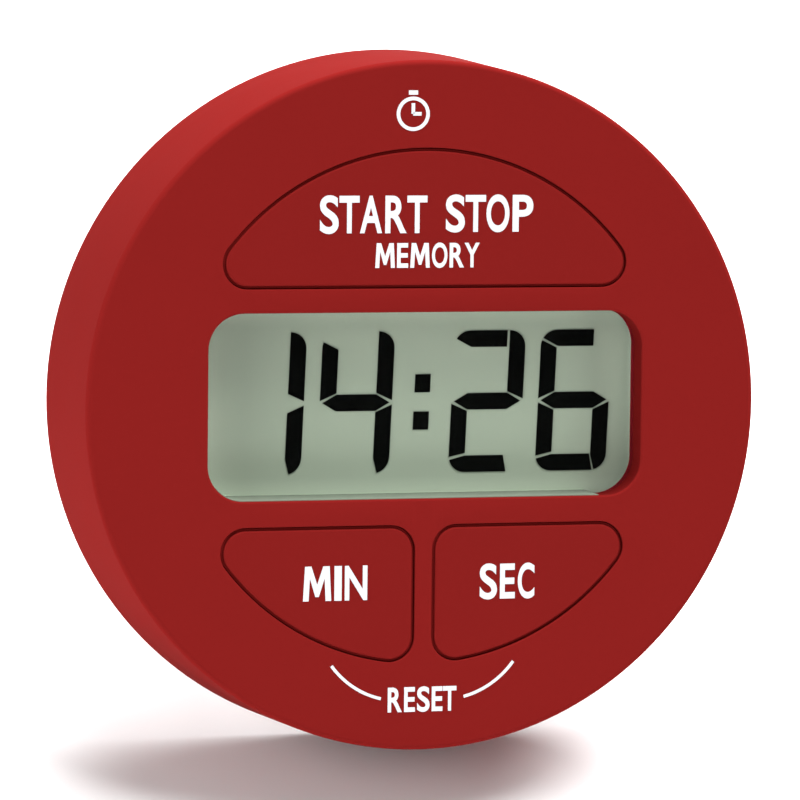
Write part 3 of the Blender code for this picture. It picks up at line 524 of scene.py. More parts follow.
def connect(tree, value, socket):
    """Give a socket its value, a number or another socket."""
    if isinstance(value, (int, float)):
        socket.default_value = value
    else:
        tree.links.new(value, socket)


def add_noise(tree, vector, scale, detail=2.0, roughness=0.5):
    """A noise texture read at a vector; scale is a number or a socket."""
    noise = tree.nodes.new("ShaderNodeTexNoise")
    noise.inputs["Detail"].default_value = detail
    noise.inputs["Roughness"].default_value = roughness
    tree.links.new(vector, noise.inputs["Vector"])
    connect(tree, scale, noise.inputs["Scale"])
    return noise.outputs["Fac"]


def add_math(tree, operation, *values):
    """A Math node; each value is a number or a socket."""
    node = tree.nodes.new("ShaderNodeMath")
    node.operation = operation
    for socket, value in zip(node.inputs, values):
        connect(tree, value, socket)
    return node.outputs[0]


def add_vector_math(tree, operation, vector, constant=None):
    """A Vector Math node on a vector, with a constant where the operation takes one."""
    node = tree.nodes.new("ShaderNodeVectorMath")
    node.operation = operation
    tree.links.new(vector, node.inputs[0])
    if constant is not None:
        node.inputs[1].default_value = constant
    return node


def add_dot(tree, vector, direction):
    """How far a vector reaches along a direction."""
    return add_vector_math(tree, "DOT_PRODUCT", vector, direction).outputs["Value"]


def add_ramp(tree, value, start, end):
    """A smooth rise from 0 to 1 between two values."""
    ramp = tree.nodes.new("ShaderNodeMapRange")
    ramp.interpolation_type = "SMOOTHSTEP"
    ramp.inputs["From Min"].default_value = start
    ramp.inputs["From Max"].default_value = end
    tree.links.new(value, ramp.inputs["Value"])
    return ramp.outputs["Result"]


def make_colour_drift():
    """Slow changes of brightness and a fine fleck over a moulded colour."""
    group, given, result = start_group("colour_drift", ("Colour", "Amount", "Fleck"), "Colour")
    slow = add_math(group, "SUBTRACT", add_noise(group, given["Vector"], 70.0), 0.5)
    fine = add_math(group, "SUBTRACT", add_noise(group, given["Vector"], 2600.0, 3.0), 0.5)
    slow_part = add_math(group, "MULTIPLY", slow, given["Amount"])
    both = add_math(group, "MULTIPLY_ADD", fine, given["Fleck"], slow_part)
    tint = group.nodes.new("ShaderNodeHueSaturation")
    group.links.new(add_math(group, "ADD", both, 1.0), tint.inputs["Value"])
    group.links.new(given["Colour"], tint.inputs["Color"])
    group.links.new(tint.outputs["Color"], result)
    return group


def make_gloss_drift():
    """Handling marks: roughness that wanders about its middle value."""
    group, given, result = start_group("gloss_drift", ("Roughness", "Amount"), "Roughness")
    centred = add_math(group, "SUBTRACT", add_noise(group, given["Vector"], 160.0, 4.0), 0.5)
    total = add_math(group, "MULTIPLY_ADD", centred, given["Amount"], given["Roughness"])
    group.links.new(total, result)
    return group


def make_moulded_grain():
    """The fine spark-eroded grain of a moulded surface, as a height."""
    group, given, result = start_group("moulded_grain", ("Scale",), "Height")
    fine = add_noise(group, given["Vector"], given["Scale"], 3.0, 0.6)
    wide_scale = add_math(group, "MULTIPLY", given["Scale"], 0.31)
    wide = add_noise(group, given["Vector"], wide_scale, 2.0)
    group.links.new(add_math(group, "MULTIPLY_ADD", wide, 0.45, fine), result)
    return group


def make_brushed_lines():
    """Fine parallel lines of a drawn or ground metal, as a height."""
    group, given, result = start_group("brushed_lines", ("Scale",), "Height")
    stretched = add_vector_math(group, "MULTIPLY", given["Vector"], (0.06, 1.0, 1.0)).outputs["Vector"]
    group.links.new(add_noise(group, stretched, given["Scale"], 4.0, 0.65), result)
    return group


def make_opening_painted_shade():
    """Painted shade: inside the face's openings the colour turns darker, where shade falls on their walls.
    """
    group, given, result = start_group("opening_painted_shade", ("Colour", "Painted Shade Colour"), "Colour")
    spot = add_vector_math(group, "SUBTRACT", given["Vector"], FACE_CENTRE).outputs["Vector"]
    depth = add_ramp(group, add_dot(group, spot, BACK), WINDOW_EDGE_ROUND * 0.2, WINDOW_EDGE_ROUND * 2)
    distance = add_vector_math(group, "LENGTH", spot).outputs["Value"]
    inside = add_math(group, "LESS_THAN", distance, (KEY_RADIUS + CASE_BORE) / 2)
    blend = group.nodes.new("ShaderNodeMix")
    blend.data_type = "RGBA"
    group.links.new(add_math(group, "MULTIPLY", inside, depth), blend.inputs["Factor"])
    painted, painted_shade = [socket for socket in blend.inputs if socket.type == "RGBA"]
    group.links.new(given["Colour"], painted)
    group.links.new(given["Painted Shade Colour"], painted_shade)
    group.links.new(next(socket for socket in blend.outputs if socket.type == "RGBA"), result)
    return group


def make_display_painted_light():
    """Painted light on the display film: paler toward its border and its left end, where the window's walls
    shade it, and painted shade that darkens its lip.
    """
    group, given, result = start_group("display_painted_light", ("Colour", "Painted Edge Light", "Shade", "Painted Lip Shade"), "Colour")
    window = FACE_CENTRE + UP * WINDOW_Z
    spot = add_vector_math(group, "SUBTRACT", given["Vector"], window).outputs["Vector"]
    across = add_math(group, "ABSOLUTE", add_dot(group, spot, RIGHT))
    upward = add_math(group, "ABSOLUTE", add_dot(group, spot, UP))
    half_width, half_height = WINDOW_WIDTH / 2, WINDOW_HEIGHT / 2
    near_side = add_ramp(group, across, half_width - 0.0030, half_width)
    near_end = add_ramp(group, upward, half_height - 0.0018, half_height)
    edge = add_math(group, "ADD", near_side, near_end)
    # painted light: the Shade input lifts the left end, which the window's left wall shades
    shade = add_ramp(group, add_dot(group, spot, -RIGHT), half_width - 0.0050, half_width)
    # painted shade: the lip is darkened
    lip = add_math(group, "LESS_THAN", add_dot(group, spot, BACK), FILM_FRONT - FILM_THICKNESS)
    painted_lift = add_math(group, "MULTIPLY_ADD", edge, given["Painted Edge Light"], 1.0)
    painted_lift = add_math(group, "MULTIPLY_ADD", shade, given["Shade"], painted_lift)
    painted_lip_shade = add_math(group, "SUBTRACT", 1.0, add_math(group, "MULTIPLY", lip, given["Painted Lip Shade"]))
    tint = add_vector_math(group, "SCALE", given["Colour"])
    group.links.new(add_math(group, "MULTIPLY", painted_lift, painted_lip_shade), tint.inputs["Scale"])
    group.links.new(tint.outputs["Vector"], result)
    return group


EFFECTS = {
    # display: painted light and painted shade on the display film
    "display": make_display_painted_light(),
    # openings: painted shade on the walls inside the face's openings
    "openings": make_opening_painted_shade(),
    "colour": make_colour_drift(),
    "gloss": make_gloss_drift(),
    "grain": make_moulded_grain(),
    "brushed": make_brushed_lines(),
}


def add_effect(tree, effect, vector, values):
    """Place a shared effect in a material with its own values."""
    node = tree.nodes.new("ShaderNodeGroup")
    node.node_tree = EFFECTS[effect]
    tree.links.new(vector, node.inputs["Vector"])
    for label, value in values.items():
        node.inputs[label].default_value = value
    return node.outputs[0]


def make_finish(name, colour, roughness, relief="grain", relief_scale=3200.0, relief_height=0.000008,
                drift=0.06, fleck=0.05, gloss_change=0.10, metallic=0.0, over=None, **constants):
    """A finish from the shared effects; constants set the shader's own plain sockets."""
    material = bpy.data.materials.new(name)
    material.use_nodes = True
    tree = material.node_tree
    shader = tree.nodes["Principled BSDF"]
    vector = tree.nodes.new("ShaderNodeTexCoord").outputs["Object"]
    tone = add_effect(tree, "colour", vector, {"Colour": (*colour, 1), "Amount": drift, "Fleck": fleck})
    for effect, values in (over or {}).items():
        painted = tone
        tone = add_effect(tree, effect, vector, values)
        tree.links.new(painted, tone.node.inputs["Colour"])
    gloss = add_effect(tree, "gloss", vector, {"Roughness": roughness, "Amount": gloss_change})
    bump = tree.nodes.new("ShaderNodeBump")
    bump.inputs["Strength"].default_value = 1.0
    bump.inputs["Distance"].default_value = relief_height
    tree.links.new(add_effect(tree, relief, vector, {"Scale": relief_scale}), bump.inputs["Height"])
    tree.links.new(tone, shader.inputs["Base Color"])
    tree.links.new(gloss, shader.inputs["Roughness"])
    tree.links.new(bump.outputs["Normal"], shader.inputs["Normal"])
    shader.inputs["Metallic"].default_value = metallic
    for label, value in constants.items():
        shader.inputs[label.replace("_", " ").title().replace("Ior", "IOR")].default_value = value
    return material


# A finish has its colour, its roughness and whatever differs from the usual values.
CLEAR = dict(drift=0.0, fleck=0.0, gloss_change=0.02, relief_height=0.0000004, alpha=0.015)
BRUSHED_METAL = dict(relief="brushed", metallic=1.0)
FINISH_VALUES = {
    # the openings effect paints shade on the walls inside the face's openings
    "red_soft_touch": ((0.190, 0.0106, 0.0096), 0.55, dict(
        relief_height=0.000010, over={"openings": {"Painted Shade Colour": (0.135, 0.0068, 0.0066, 1)}},
        specular_ior_level=0.001)),
    "red_key": ((0.183, 0.0104, 0.0094), 0.58, dict(relief_height=0.000010, specular_ior_level=0.001)),
    "red_plastic": ((0.215, 0.0084, 0.0080), 0.45, dict(
        relief_scale=2600.0, relief_height=0.000014, specular_ior_level=0.06)),
    "window_surround": ((0.27, 0.011, 0.018), 0.45, dict(specular_ior_level=0.15)),
    "clear_plastic": ((0.02, 0.02, 0.02), 0.08, CLEAR),
    "display_glass": ((0.02, 0.02, 0.02), 0.10, CLEAR),
    # display: painted light on the film's border and left end, painted shade on its lip
    "display_film": ((0.450, 0.537, 0.415), 0.60, dict(
        relief_scale=6000.0, relief_height=0.0000010, drift=0.01, fleck=0.03,
        over={"display": {"Painted Edge Light": 0.30, "Shade": 0.35, "Painted Lip Shade": 0.68}}, specular_ior_level=0.05)),
    "segment_ink": ((0.0012, 0.0016, 0.0012), 0.60, dict(
        relief_height=0.000001, specular_ior_level=0.01)),
    "label_ink": ((0.70, 0.725, 0.76), 0.55, dict(
        relief_height=0.000002, drift=0.02, fleck=0.02, specular_ior_level=0.2)),
    "reflector_film": ((0.42, 0.48, 0.38), 0.40, dict(relief="brushed")),
    "white_plastic": ((0.72, 0.72, 0.70), 0.50, {}),
    "silicone_rubber": ((0.45, 0.45, 0.44), 0.62, dict(relief_height=0.000006)),
    "carbon_rubber": ((0.015, 0.015, 0.015), 0.72, {}),
    "board_laminate": ((0.02, 0.14, 0.05), 0.42, dict(
        relief="brushed", relief_scale=5000.0, coat_weight=0.3)),
    "bright_steel": ((0.34, 0.34, 0.33), 0.42, dict(
        relief_scale=9000.0, relief_height=0.000004, **BRUSHED_METAL)),
    "nickel_magnet": ((0.30, 0.293, 0.28), 0.46, dict(
        relief_scale=7000.0, relief_height=0.000003, **BRUSHED_METAL)),
    "brass_sheet": ((0.75, 0.52, 0.20), 0.30, BRUSHED_METAL),
    "ceramic": ((0.70, 0.68, 0.60), 0.42, {}),
    "black_plastic": ((0.02, 0.02, 0.02), 0.45, {}),
    "red_insulation": ((0.50, 0.02, 0.02), 0.40, {}),
}
FINISHES = {
    name: make_finish(name, colour, roughness, **changes)
    for name, (colour, roughness, changes) in FINISH_VALUES.items()
}


# ---- case ----
def make_case_front():
    """The face and side wall in one moulding, with rounded rims and softened openings."""
    rear_bore = CASE_BORE + COVER_SEAT
    seat = COVER_FRONT - GAP
    start_outline(0, 0, 0)
    line_to(FACE_RADIUS - FACE_FILLET, 0, 0)
    arc_about(FACE_RADIUS - FACE_FILLET, FACE_FILLET, 0, pi / 2, axis=(0, 0, 1), steps=8)
    line_to(REAR_RADIUS, BODY_DEPTH - REAR_FILLET, 0)
    arc_about(REAR_RADIUS - REAR_FILLET, BODY_DEPTH - REAR_FILLET, 0, pi / 2, axis=(0, 0, 1), steps=6)
    line_to(rear_bore, BODY_DEPTH, 0)
    line_to(rear_bore, seat, 0)
    line_to(CASE_BORE, seat, 0)
    line_to(CASE_BORE, FACE_THICKNESS, 0)
    line_to(0, FACE_THICKNESS, 0)
    bpy.ops.mesh.select_all(action="SELECT")
    bpy.ops.mesh.spin(steps=RIM_STEPS, angle=2 * pi, center=(0, 0, 0), axis=(0, 1, 0))
    piece = finish_shape()
    half_groove = KEY_GROOVE / 2
    drawings = [
        (draw_window, 0.0, WINDOW_EDGE_ROUND),
        (draw_upper_key, half_groove, OPENING_ROUND),
        (lambda grow, y: draw_lower_key(-1, grow, y), half_groove, OPENING_ROUND),
        (lambda grow, y: draw_lower_key(1, grow, y), half_groove, OPENING_ROUND),
    ]
    for draw, grow, radius in drawings:
        draw(grow + radius, -FACE_THICKNESS)
        push(FACE_THICKNESS)
        roll_over(radius, hollow=True)
        cut(piece, solid(2 * FACE_THICKNESS))
    add_posts(piece)
    smooth(piece)
    place(piece, "case_front", "case", "red_soft_touch", ["front_housing"])


def add_posts(piece):
    """The posts inside the case that take the cover's and the board's screws."""
    sunk = FACE_THICKNESS / 2
    for angle in SCREW_ANGLES.values():
        x, z = at_angle(BOSS_CIRCLE, radians(angle))
        weld(piece, bar(x, z, BOSS_RADIUS, sunk, COVER_FRONT - GAP, POST_STEPS))
        cut(piece, bar(x, z, SCREW_BORE, 2 * FACE_THICKNESS, BODY_DEPTH, CORNER_STEPS))
    for side in ("left", "right"):
        x = middle_of("board_screw_" + side).x
        weld(piece, bar(x, 0, BOSS_RADIUS * 0.8, sunk, BOARD_FRONT - GAP, POST_STEPS))
        cut(piece, bar(x, 0, SCREW_BORE * 0.9, 2 * FACE_THICKNESS, BODY_DEPTH, CORNER_STEPS))


# ---- keys ----
def make_key(key, draw):
    """A key cap with softened edges, the shoulder under its groove, its flange and its plunger."""
    middle = FLANGE_FRONT + FLANGE_THICKNESS / 2
    draw(-KEY_GROOVE / 2, middle)
    push(KEY_ROUND - middle)
    roll_over(KEY_ROUND)
    piece = finish_shape()
    draw(KEY_GROOVE / 2 - SHOULDER_GAP, middle)
    weld(piece, solid(GROOVE_DEPTH - middle))
    draw(KEY_GROOVE / 2 + FLANGE_OVERLAP, FLANGE_FRONT)
    weld(piece, solid(FLANGE_THICKNESS))
    plunger_end = corners_of(key + "_key")[1].y
    dome = middle_of(key + "_dome")
    weld(piece, bar(dome.x, dome.z, PLUNGER_RADIUS, middle, plunger_end, POST_STEPS))
    smooth(piece)
    place(piece, key + "_cap", key + "_key", "red_key", [key + "_key"], "red_soft_touch")


def make_keys():
    """The wide upper key and the two lower ones."""
    make_key("start_stop", draw_upper_key)
    make_key("min", lambda grow, y: draw_lower_key(-1, grow, y))
    make_key("sec", lambda grow, y: draw_lower_key(1, grow, y))


# ---- display ----
def make_window():
    """The clear window, and the red border printed round its back."""
    draw_window(LENS_MARGIN, LENS_BACK)
    push(LENS_FRONT + KEY_ROUND / 2 - LENS_BACK)
    roll_over(KEY_ROUND / 2, 2)
    piece = finish_shape()
    smooth(piece)
    place(piece, "window_lens", "case", "clear_plastic", ["display_lens"])
    front = LENS_BACK + SURROUND_THICKNESS / 4
    draw_window(LENS_MARGIN, front)
    border = solid(SURROUND_THICKNESS)
    draw_window(SURROUND_MARGIN, front - SURROUND_THICKNESS)
    cut(border, solid(3 * SURROUND_THICKNESS))
    place(border, "window_surround", "case", "window_surround", slot="red_plastic")


def make_display_film():
    """The grey-green film that the figures stand on, with a lip that runs forward under the window."""
    low, high = corners_of("lcd_front_glass")
    draw_rounded_rectangle(low.x, high.x + GAP, low.z, high.z, GAP, GAP, FILM_FRONT)
    film = solid(FILM_THICKNESS)
    draw_window(FILM_THICKNESS, LIP_FRONT)
    lip = solid(FILM_FRONT + FILM_THICKNESS / 2 - LIP_FRONT)
    draw_window(-FILM_THICKNESS, -FACE_THICKNESS)
    cut(lip, solid(3 * FACE_THICKNESS))
    top = WINDOW_Z - WINDOW_HEIGHT / 2 + LIP_RISE
    depths = (-FACE_THICKNESS, 3 * FACE_THICKNESS)
    cut(lip, block(-FACE_RADIUS, FACE_RADIUS, *depths, top, FACE_RADIUS))
    right = WINDOW_X + WINDOW_WIDTH / 2 - WINDOW_CORNER - LIP_RISE / 2
    cut(lip, block(right, FACE_RADIUS, *depths, -FACE_RADIUS, FACE_RADIUS))
    weld(film, lip)
    place(film, "display_film", "case", "display_film", slot="reflector_film")


def draw_plate(corners, thickness):
    """A flat plate from its corners (x, z)."""
    x, z = corners[0]
    start_outline(x, 0, z)
    for x, z in corners[1:]:
        line_to(x, 0, z)
    close_outline()
    return solid(thickness)


def draw_segment(corners):
    """One bar of a figure, as a thin plate."""
    return draw_plate(corners, FIGURE_THICKNESS)


def round_corner(x_side, z_side, start, end, steps=6):
    """Points along a figure's rounded outer corner, between two angles in degrees."""
    radius = SEGMENT_WIDTH
    centre_x = x_side * (FIGURE_HALF_WIDTH - radius)
    centre_z = z_side * (FIGURE_HALF_HEIGHT - radius)
    points = []
    for step in range(steps + 1):
        angle = radians(start + (end - start) * step / steps)
        points.append((centre_x + radius * cos(angle), centre_z + radius * sin(angle)))
    return points


def segment_corners():
    """The outlines of the seven bars that every figure is made from."""
    w, h, t, g = FIGURE_HALF_WIDTH, FIGURE_HALF_HEIGHT, SEGMENT_WIDTH, SEGMENT_GAP
    inner, tip, shoulder = w - t, 0.00008, t / 2
    low = h - t
    return {
        "top": round_corner(-1, 1, 150, 90) + [(inner - 2 * g, h), (inner - 2 * g, low), (-inner + g, low)],
        "upper_right": [(inner, h)] + round_corner(1, 1, 85, 0) + [(w, tip + g), (inner, shoulder + g)],
        "lower_right": [(w, -tip - g), (inner, -shoulder - g), (inner, -low - g)]
        + round_corner(1, -1, -75, 0),
        "bottom": round_corner(-1, -1, -165, -90) + [(inner + 2 * g, -h), (inner - g, -low), (-inner, -low)],
        "lower_left": [(-w, -tip - g), (-inner, -shoulder - g), (-inner, -low + 2 * g), (-w, -low - g)],
        "upper_left": [(-w, tip + g), (-inner, shoulder + g), (-inner, low - g), (-w + g, low + 5 * g),
                       (-w, low + 2 * g)],
        "middle": [(-w + 2 * g, 0), (-inner, shoulder), (inner, shoulder), (w - 2 * g, 0),
                   (inner, -shoulder), (-inner, -shoulder)],
    }


FIGURES = {
    "ten_minutes": (-FIGURE_PITCH - INNER_FIGURE_X, "upper_right lower_right"),
    "minutes": (-INNER_FIGURE_X, "upper_left upper_right middle lower_right"),
    "ten_seconds": (INNER_FIGURE_X, "top upper_right middle lower_left bottom"),
    "seconds": (INNER_FIGURE_X + FIGURE_PITCH, "top upper_left middle lower_left bottom lower_right"),
}


def make_figures():
    """The figures 14:26 behind the front glass, leaning a little to the right."""
    slant = Matrix(((1, 0, FIGURE_SLANT, 0), (0, 1, 0, 0), (0, 0, 1, 0), (0, 0, 0, 1)))
    depth = GLASS_BACK + FIGURE_THICKNESS
    segments = {name: draw_segment(corners) for name, corners in segment_corners().items()}
    for name, (x, bars) in FIGURES.items():
        figure = join([copy_of(segments[bar_name]) for bar_name in bars.split()])
        figure.data.transform(Matrix.Translation((FIGURES_MIDDLE + x, depth, FIGURE_Z)) @ slant)
        place(figure, "figure_" + name, "case", "segment_ink")
    for segment in segments.values():
        bpy.data.objects.remove(segment)
    half_width, half_height = COLON_WIDTH / 2, COLON_HEIGHT / 2
    dots = []
    for z in (COLON_REACH, -COLON_REACH):
        corners = [(-half_width, z - half_height), (half_width, z - half_height),
                   (half_width, z + half_height), (-half_width, z + half_height)]
        dots.append(draw_segment(corners))
    colon = join(dots)
    colon.data.transform(Matrix.Translation((FIGURES_MIDDLE, depth, FIGURE_Z)) @ slant)
    place(colon, "figure_colon", "case", "segment_ink")


# ---- printing ----
def cast_letter(letter):
    """A bold capital as a flat plate, 1 high and as wide as its entry says."""
    if letter == "M":
        piece = draw_plate(M_CORNERS, 1.0)
    else:
        bpy.ops.object.select_all(action="DESELECT")
        bpy.ops.object.text_add()
        piece = bpy.context.object
        piece.data.body = letter
        piece.data.offset = LETTER_WEIGHT
        piece.data.extrude = 0.5
        piece.data.resolution_u = 8
        bpy.ops.object.convert(target="MESH")
        bpy.ops.object.mode_set(mode="EDIT")
        finish_shape()
        piece.data.transform(Matrix.Rotation(pi / 2, 4, "X"))
    places = [vertex.co for vertex in piece.data.vertices]
    low = Vector([min(place[axis] for place in places) for axis in range(3)])
    high = Vector([max(place[axis] for place in places) for axis in range(3)])
    overshoot = LETTER_OVERSHOOT if letter in "COS" else 0
    wide = LETTER_WIDTHS[letter] / (high.x - low.x)
    tall = (1 + 2 * overshoot) / (high.z - low.z)
    raised = Matrix.Translation((0, 0, -overshoot))
    piece.data.transform(raised @ Matrix.Diagonal((wide, 1, tall, 1)) @ Matrix.Translation(-low))
    return piece


def print_word(word, body, left, right, bottom, top):
    """A word printed on the face, its letters spaced by their shapes and fitted between limits."""
    letters = []
    x = 0.0
    for before, letter in zip(" " + word, word):
        if before != " ":
            x += TIGHT_SPACE if "T" in before + letter or "Y" in before + letter else LETTER_SPACE
        piece = cast_letter(letter)
        piece.data.transform(Matrix.Translation((x, 0, 0)))
        letters.append(piece)
        x += LETTER_WIDTHS[letter]
    printed = join(letters)
    size = Matrix.Diagonal(((right - left) / x, INK_THICKNESS, top - bottom, 1))
    printed.data.transform(Matrix.Translation((left, -INK_THICKNESS, bottom)) @ size)
    place(printed, "label_" + word.lower(), body, "label_ink")


def make_printing():
    """The words on and around the keys."""
    for word, limits in WORDS.items():
        print_word(word, *limits)
    for side, name in ((-1, "left"), (1, "right")):
        make_reset_arc("reset_arc_" + name, side)
    make_clock_sign()


def make_reset_arc(name, side):
    """The curved line that ties a lower key to the word between them."""
    x, z = side * RESET_ARC_X, RESET_ARC_Z
    outer, inner = RESET_ARC_RADIUS + LINE_WIDTH / 2, RESET_ARC_RADIUS - LINE_WIDTH / 2
    reach, drop = cos(RESET_ARC_START), sin(RESET_ARC_START)
    turn = side * (RESET_ARC_START - RESET_ARC_END)
    start_outline(x - side * outer * reach, 0, z - outer * drop)
    arc_about(x, 0, z, turn, steps=20)
    end = pen()
    towards = (Vector((x, 0, z)) - end).normalized() * LINE_WIDTH
    line_to(*(end + towards))
    arc_about(x, 0, z, -turn, steps=20)
    close_outline()
    place(solid(-INK_THICKNESS), name, "case", "label_ink")


def make_clock_sign():
    """A small plain clock sign near the top of the face."""
    x, z, radius, line = CLOCK_SIGN_X, CLOCK_SIGN_Z, CLOCK_SIGN_RADIUS, CLOCK_SIGN_LINE
    ring = bar(x, z, radius, -INK_THICKNESS, 0, ROUND_STEPS)
    cut(ring, bar(x, z, radius - line, -GAP, GAP, ROUND_STEPS))
    parts = [
        ring,
        block(x - line / 2, x + line / 2, -INK_THICKNESS, 0, z, z + radius * 0.62),
        block(x, x + radius * 0.5, -INK_THICKNESS, 0, z - line / 2, z + line / 2),
        block(x - line * 1.3, x + line * 1.3, -INK_THICKNESS, 0, z + radius + line * 0.5,
              z + radius + line * 1.7),
    ]
    place(join(parts), "clock_sign", "case", "label_ink")


# ---- back ----
def rounded_back(radius):
    """The end of a round profile: a rounded rim at the back, then the middle of the back."""
    edge = LEG_EDGE_ROUND
    corners = [(radius, BODY_DEPTH - edge)]
    for step in range(1, FINE_STEPS + 1):
        angle = pi / 2 * step / FINE_STEPS
        corners.append((radius - edge * (1 - cos(angle)), BODY_DEPTH - edge * (1 - sin(angle))))
    return corners + [(0, BODY_DEPTH)]


def make_back_cover():
    """The round back with the leg's pocket, battery well, magnet pocket and sound holes."""
    profile = [(0, COVER_FRONT), (COVER_RADIUS, COVER_FRONT)] + rounded_back(COVER_RADIUS)
    piece = turned(profile, RIM_STEPS)
    draw_leg(LEG_GAP + COVER_BLOCK_WALL, HINGE.z + BARREL_RADIUS, COVER_BLOCK_FRONT)
    weld(piece, solid(BODY_DEPTH - COVER_THICKNESS / 2 - COVER_BLOCK_FRONT))
    cut_leg_pocket(piece)
    cut_battery_well(piece)
    cut(piece, bar(0, MAGNET_Z, MAGNET_RADIUS + GAP, BODY_DEPTH - MAGNET_THICKNESS - GAP, BEHIND))
    holes = [(SOUNDER_X, 0.0)]
    for step in range(6):
        x, z = at_angle(SOUND_HOLE_PITCH, pi / 3 * step)
        holes.append((SOUNDER_X + x, z))
    for x, z in holes:
        cut(piece, bar(x, z, SOUND_HOLE_RADIUS, 0, BEHIND, CORNER_STEPS))
    seat = BODY_DEPTH - SCREW_HEAD_SINK - SCREW_HEAD_THICKNESS - GAP
    for angle in SCREW_ANGLES.values():
        x, z = at_angle(BOSS_CIRCLE, radians(angle))
        cut(piece, bar(x, z, SCREW_BORE, 0, BEHIND, POST_STEPS))
        cut(piece, bar(x, z, SCREW_HEAD_RADIUS + GAP, seat, BEHIND))
    engrave_door_marks(piece)
    smooth(piece)
    place(piece, "back_cover", "case", "red_plastic", ["rear_cover"])


def cut_leg_pocket(piece):
    """The pocket for the leg, the deeper groove for its barrel and a notch for a thumb."""
    draw_leg(LEG_GAP, HINGE.z + BARREL_RADIUS, LEG_FRONT - GAP)
    pocket = solid(BEHIND)
    draw_leg_window(-LEG_GAP, 0)
    cut(pocket, solid(3 * BODY_DEPTH))
    cut(piece, pocket)
    half = LEG_HALF_WIDTH + LEG_GAP
    reach = BARREL_RADIUS + LEG_GAP
    front = HINGE.y - BARREL_RADIUS - GAP
    cut(piece, block(-half, half, front, BEHIND, HINGE.z - reach, HINGE.z + reach))
    cut(piece, cross_bar(PIN_RADIUS + GAP, half + PIN_SOCKET))
    cut(piece, bar(half, THUMB_NOTCH_Z, THUMB_NOTCH_RADIUS, BODY_DEPTH - THUMB_NOTCH_DEPTH, BEHIND))


def draw_door_tab(direction, grow, y):
    """A bayonet tab as a curved patch about the cell's axis."""
    half = radians(DOOR_TAB_ANGLE) / 2 + grow / TAB_RADIUS
    inner, outer = (HUB_BORE + HUB_RADIUS) / 2, TAB_RADIUS + grow
    start = direction - half
    start_outline(outer * cos(start), y, CELL_Z + outer * sin(start))
    arc_about(0, y, CELL_Z, -2 * half)
    line_to(inner * cos(direction + half), y, CELL_Z + inner * sin(direction + half))
    arc_about(0, y, CELL_Z, 2 * half)
    close_outline()


def cut_battery_well(piece):
    """The round well for the cell, and the ledge that the door's tabs lock under."""
    cut(piece, bar(0, CELL_Z, DOOR_RADIUS + GAP, LEDGE_REAR, BEHIND, 2 * ROUND_STEPS))
    cut(piece, bar(0, CELL_Z, HUB_RADIUS + GAP, 0, BEHIND))
    cut(piece, bar(0, CELL_Z, WELL_RADIUS, 0, LEDGE_FRONT))
    for side in (0, pi):
        draw_door_tab(side - DOOR_TURN, GAP, LEDGE_FRONT - GAP)
        cut(piece, solid(LEDGE_REAR - LEDGE_FRONT + 2 * GAP))


def engrave_door_marks(piece):
    """Two small dots beside the door show where its pointer stands open and shut."""
    reach = DOOR_RADIUS + MARK_DISTANCE
    for angle in (pi / 2, pi / 2 - DOOR_TURN):
        x, z = at_angle(reach, angle, CELL_Z)
        if abs(x) < LEG_INNER_HALF - LEG_GAP:
            cut(piece, bar(x, z, MARK_RADIUS, MARK_FLOOR, BEHIND, POST_STEPS))


def make_door():
    """The battery door: a rounded disc with a coin slot, its hub and two tabs."""
    inner_face = BODY_DEPTH - DOOR_THICKNESS
    profile = [(0, inner_face), (HUB_BORE, inner_face), (HUB_BORE, HUB_FRONT), (HUB_RADIUS, HUB_FRONT),
               (HUB_RADIUS, inner_face), (DOOR_RADIUS, inner_face)] + rounded_back(DOOR_RADIUS)
    piece = turned(profile, 2 * ROUND_STEPS, CELL_Z)
    for side in (0, pi):
        draw_door_tab(side, 0, HUB_FRONT)
        weld(piece, solid(DOOR_TAB_THICKNESS))
    half, end = COIN_SLOT_LENGTH / 2, COIN_SLOT_WIDTH / 2
    draw_rounded_rectangle(-half, half, CELL_Z - end, CELL_Z + end, end * 0.98, end * 0.98,
                           BODY_DEPTH - COIN_SLOT_DEPTH)
    cut(piece, solid(BODY_DEPTH))
    pointer_z = CELL_Z + DOOR_RADIUS * 0.78
    start_outline(-POINTER_HALF, MARK_FLOOR, pointer_z - POINTER_HALF * 0.8)
    line_to(POINTER_HALF, MARK_FLOOR, pointer_z - POINTER_HALF * 0.8)
    line_to(0, MARK_FLOOR, pointer_z + POINTER_HALF)
    close_outline()
    cut(piece, solid(BODY_DEPTH))
    smooth(piece)
    place(piece, "door", "battery_door", "red_plastic", ["battery_door"])


def make_magnet_disc():
    """The nickel-plated disc magnet with a rounded edge."""
    front, edge = BODY_DEPTH - MAGNET_THICKNESS, LEG_EDGE_ROUND
    profile = [(0, front), (MAGNET_RADIUS - edge, front), (MAGNET_RADIUS, front + edge)]
    profile += rounded_back(MAGNET_RADIUS)
    piece = turned(profile, 2 * ROUND_STEPS, MAGNET_Z)
    smooth(piece)
    place(piece, "magnet_disc", "case", "nickel_magnet", ["magnet"])


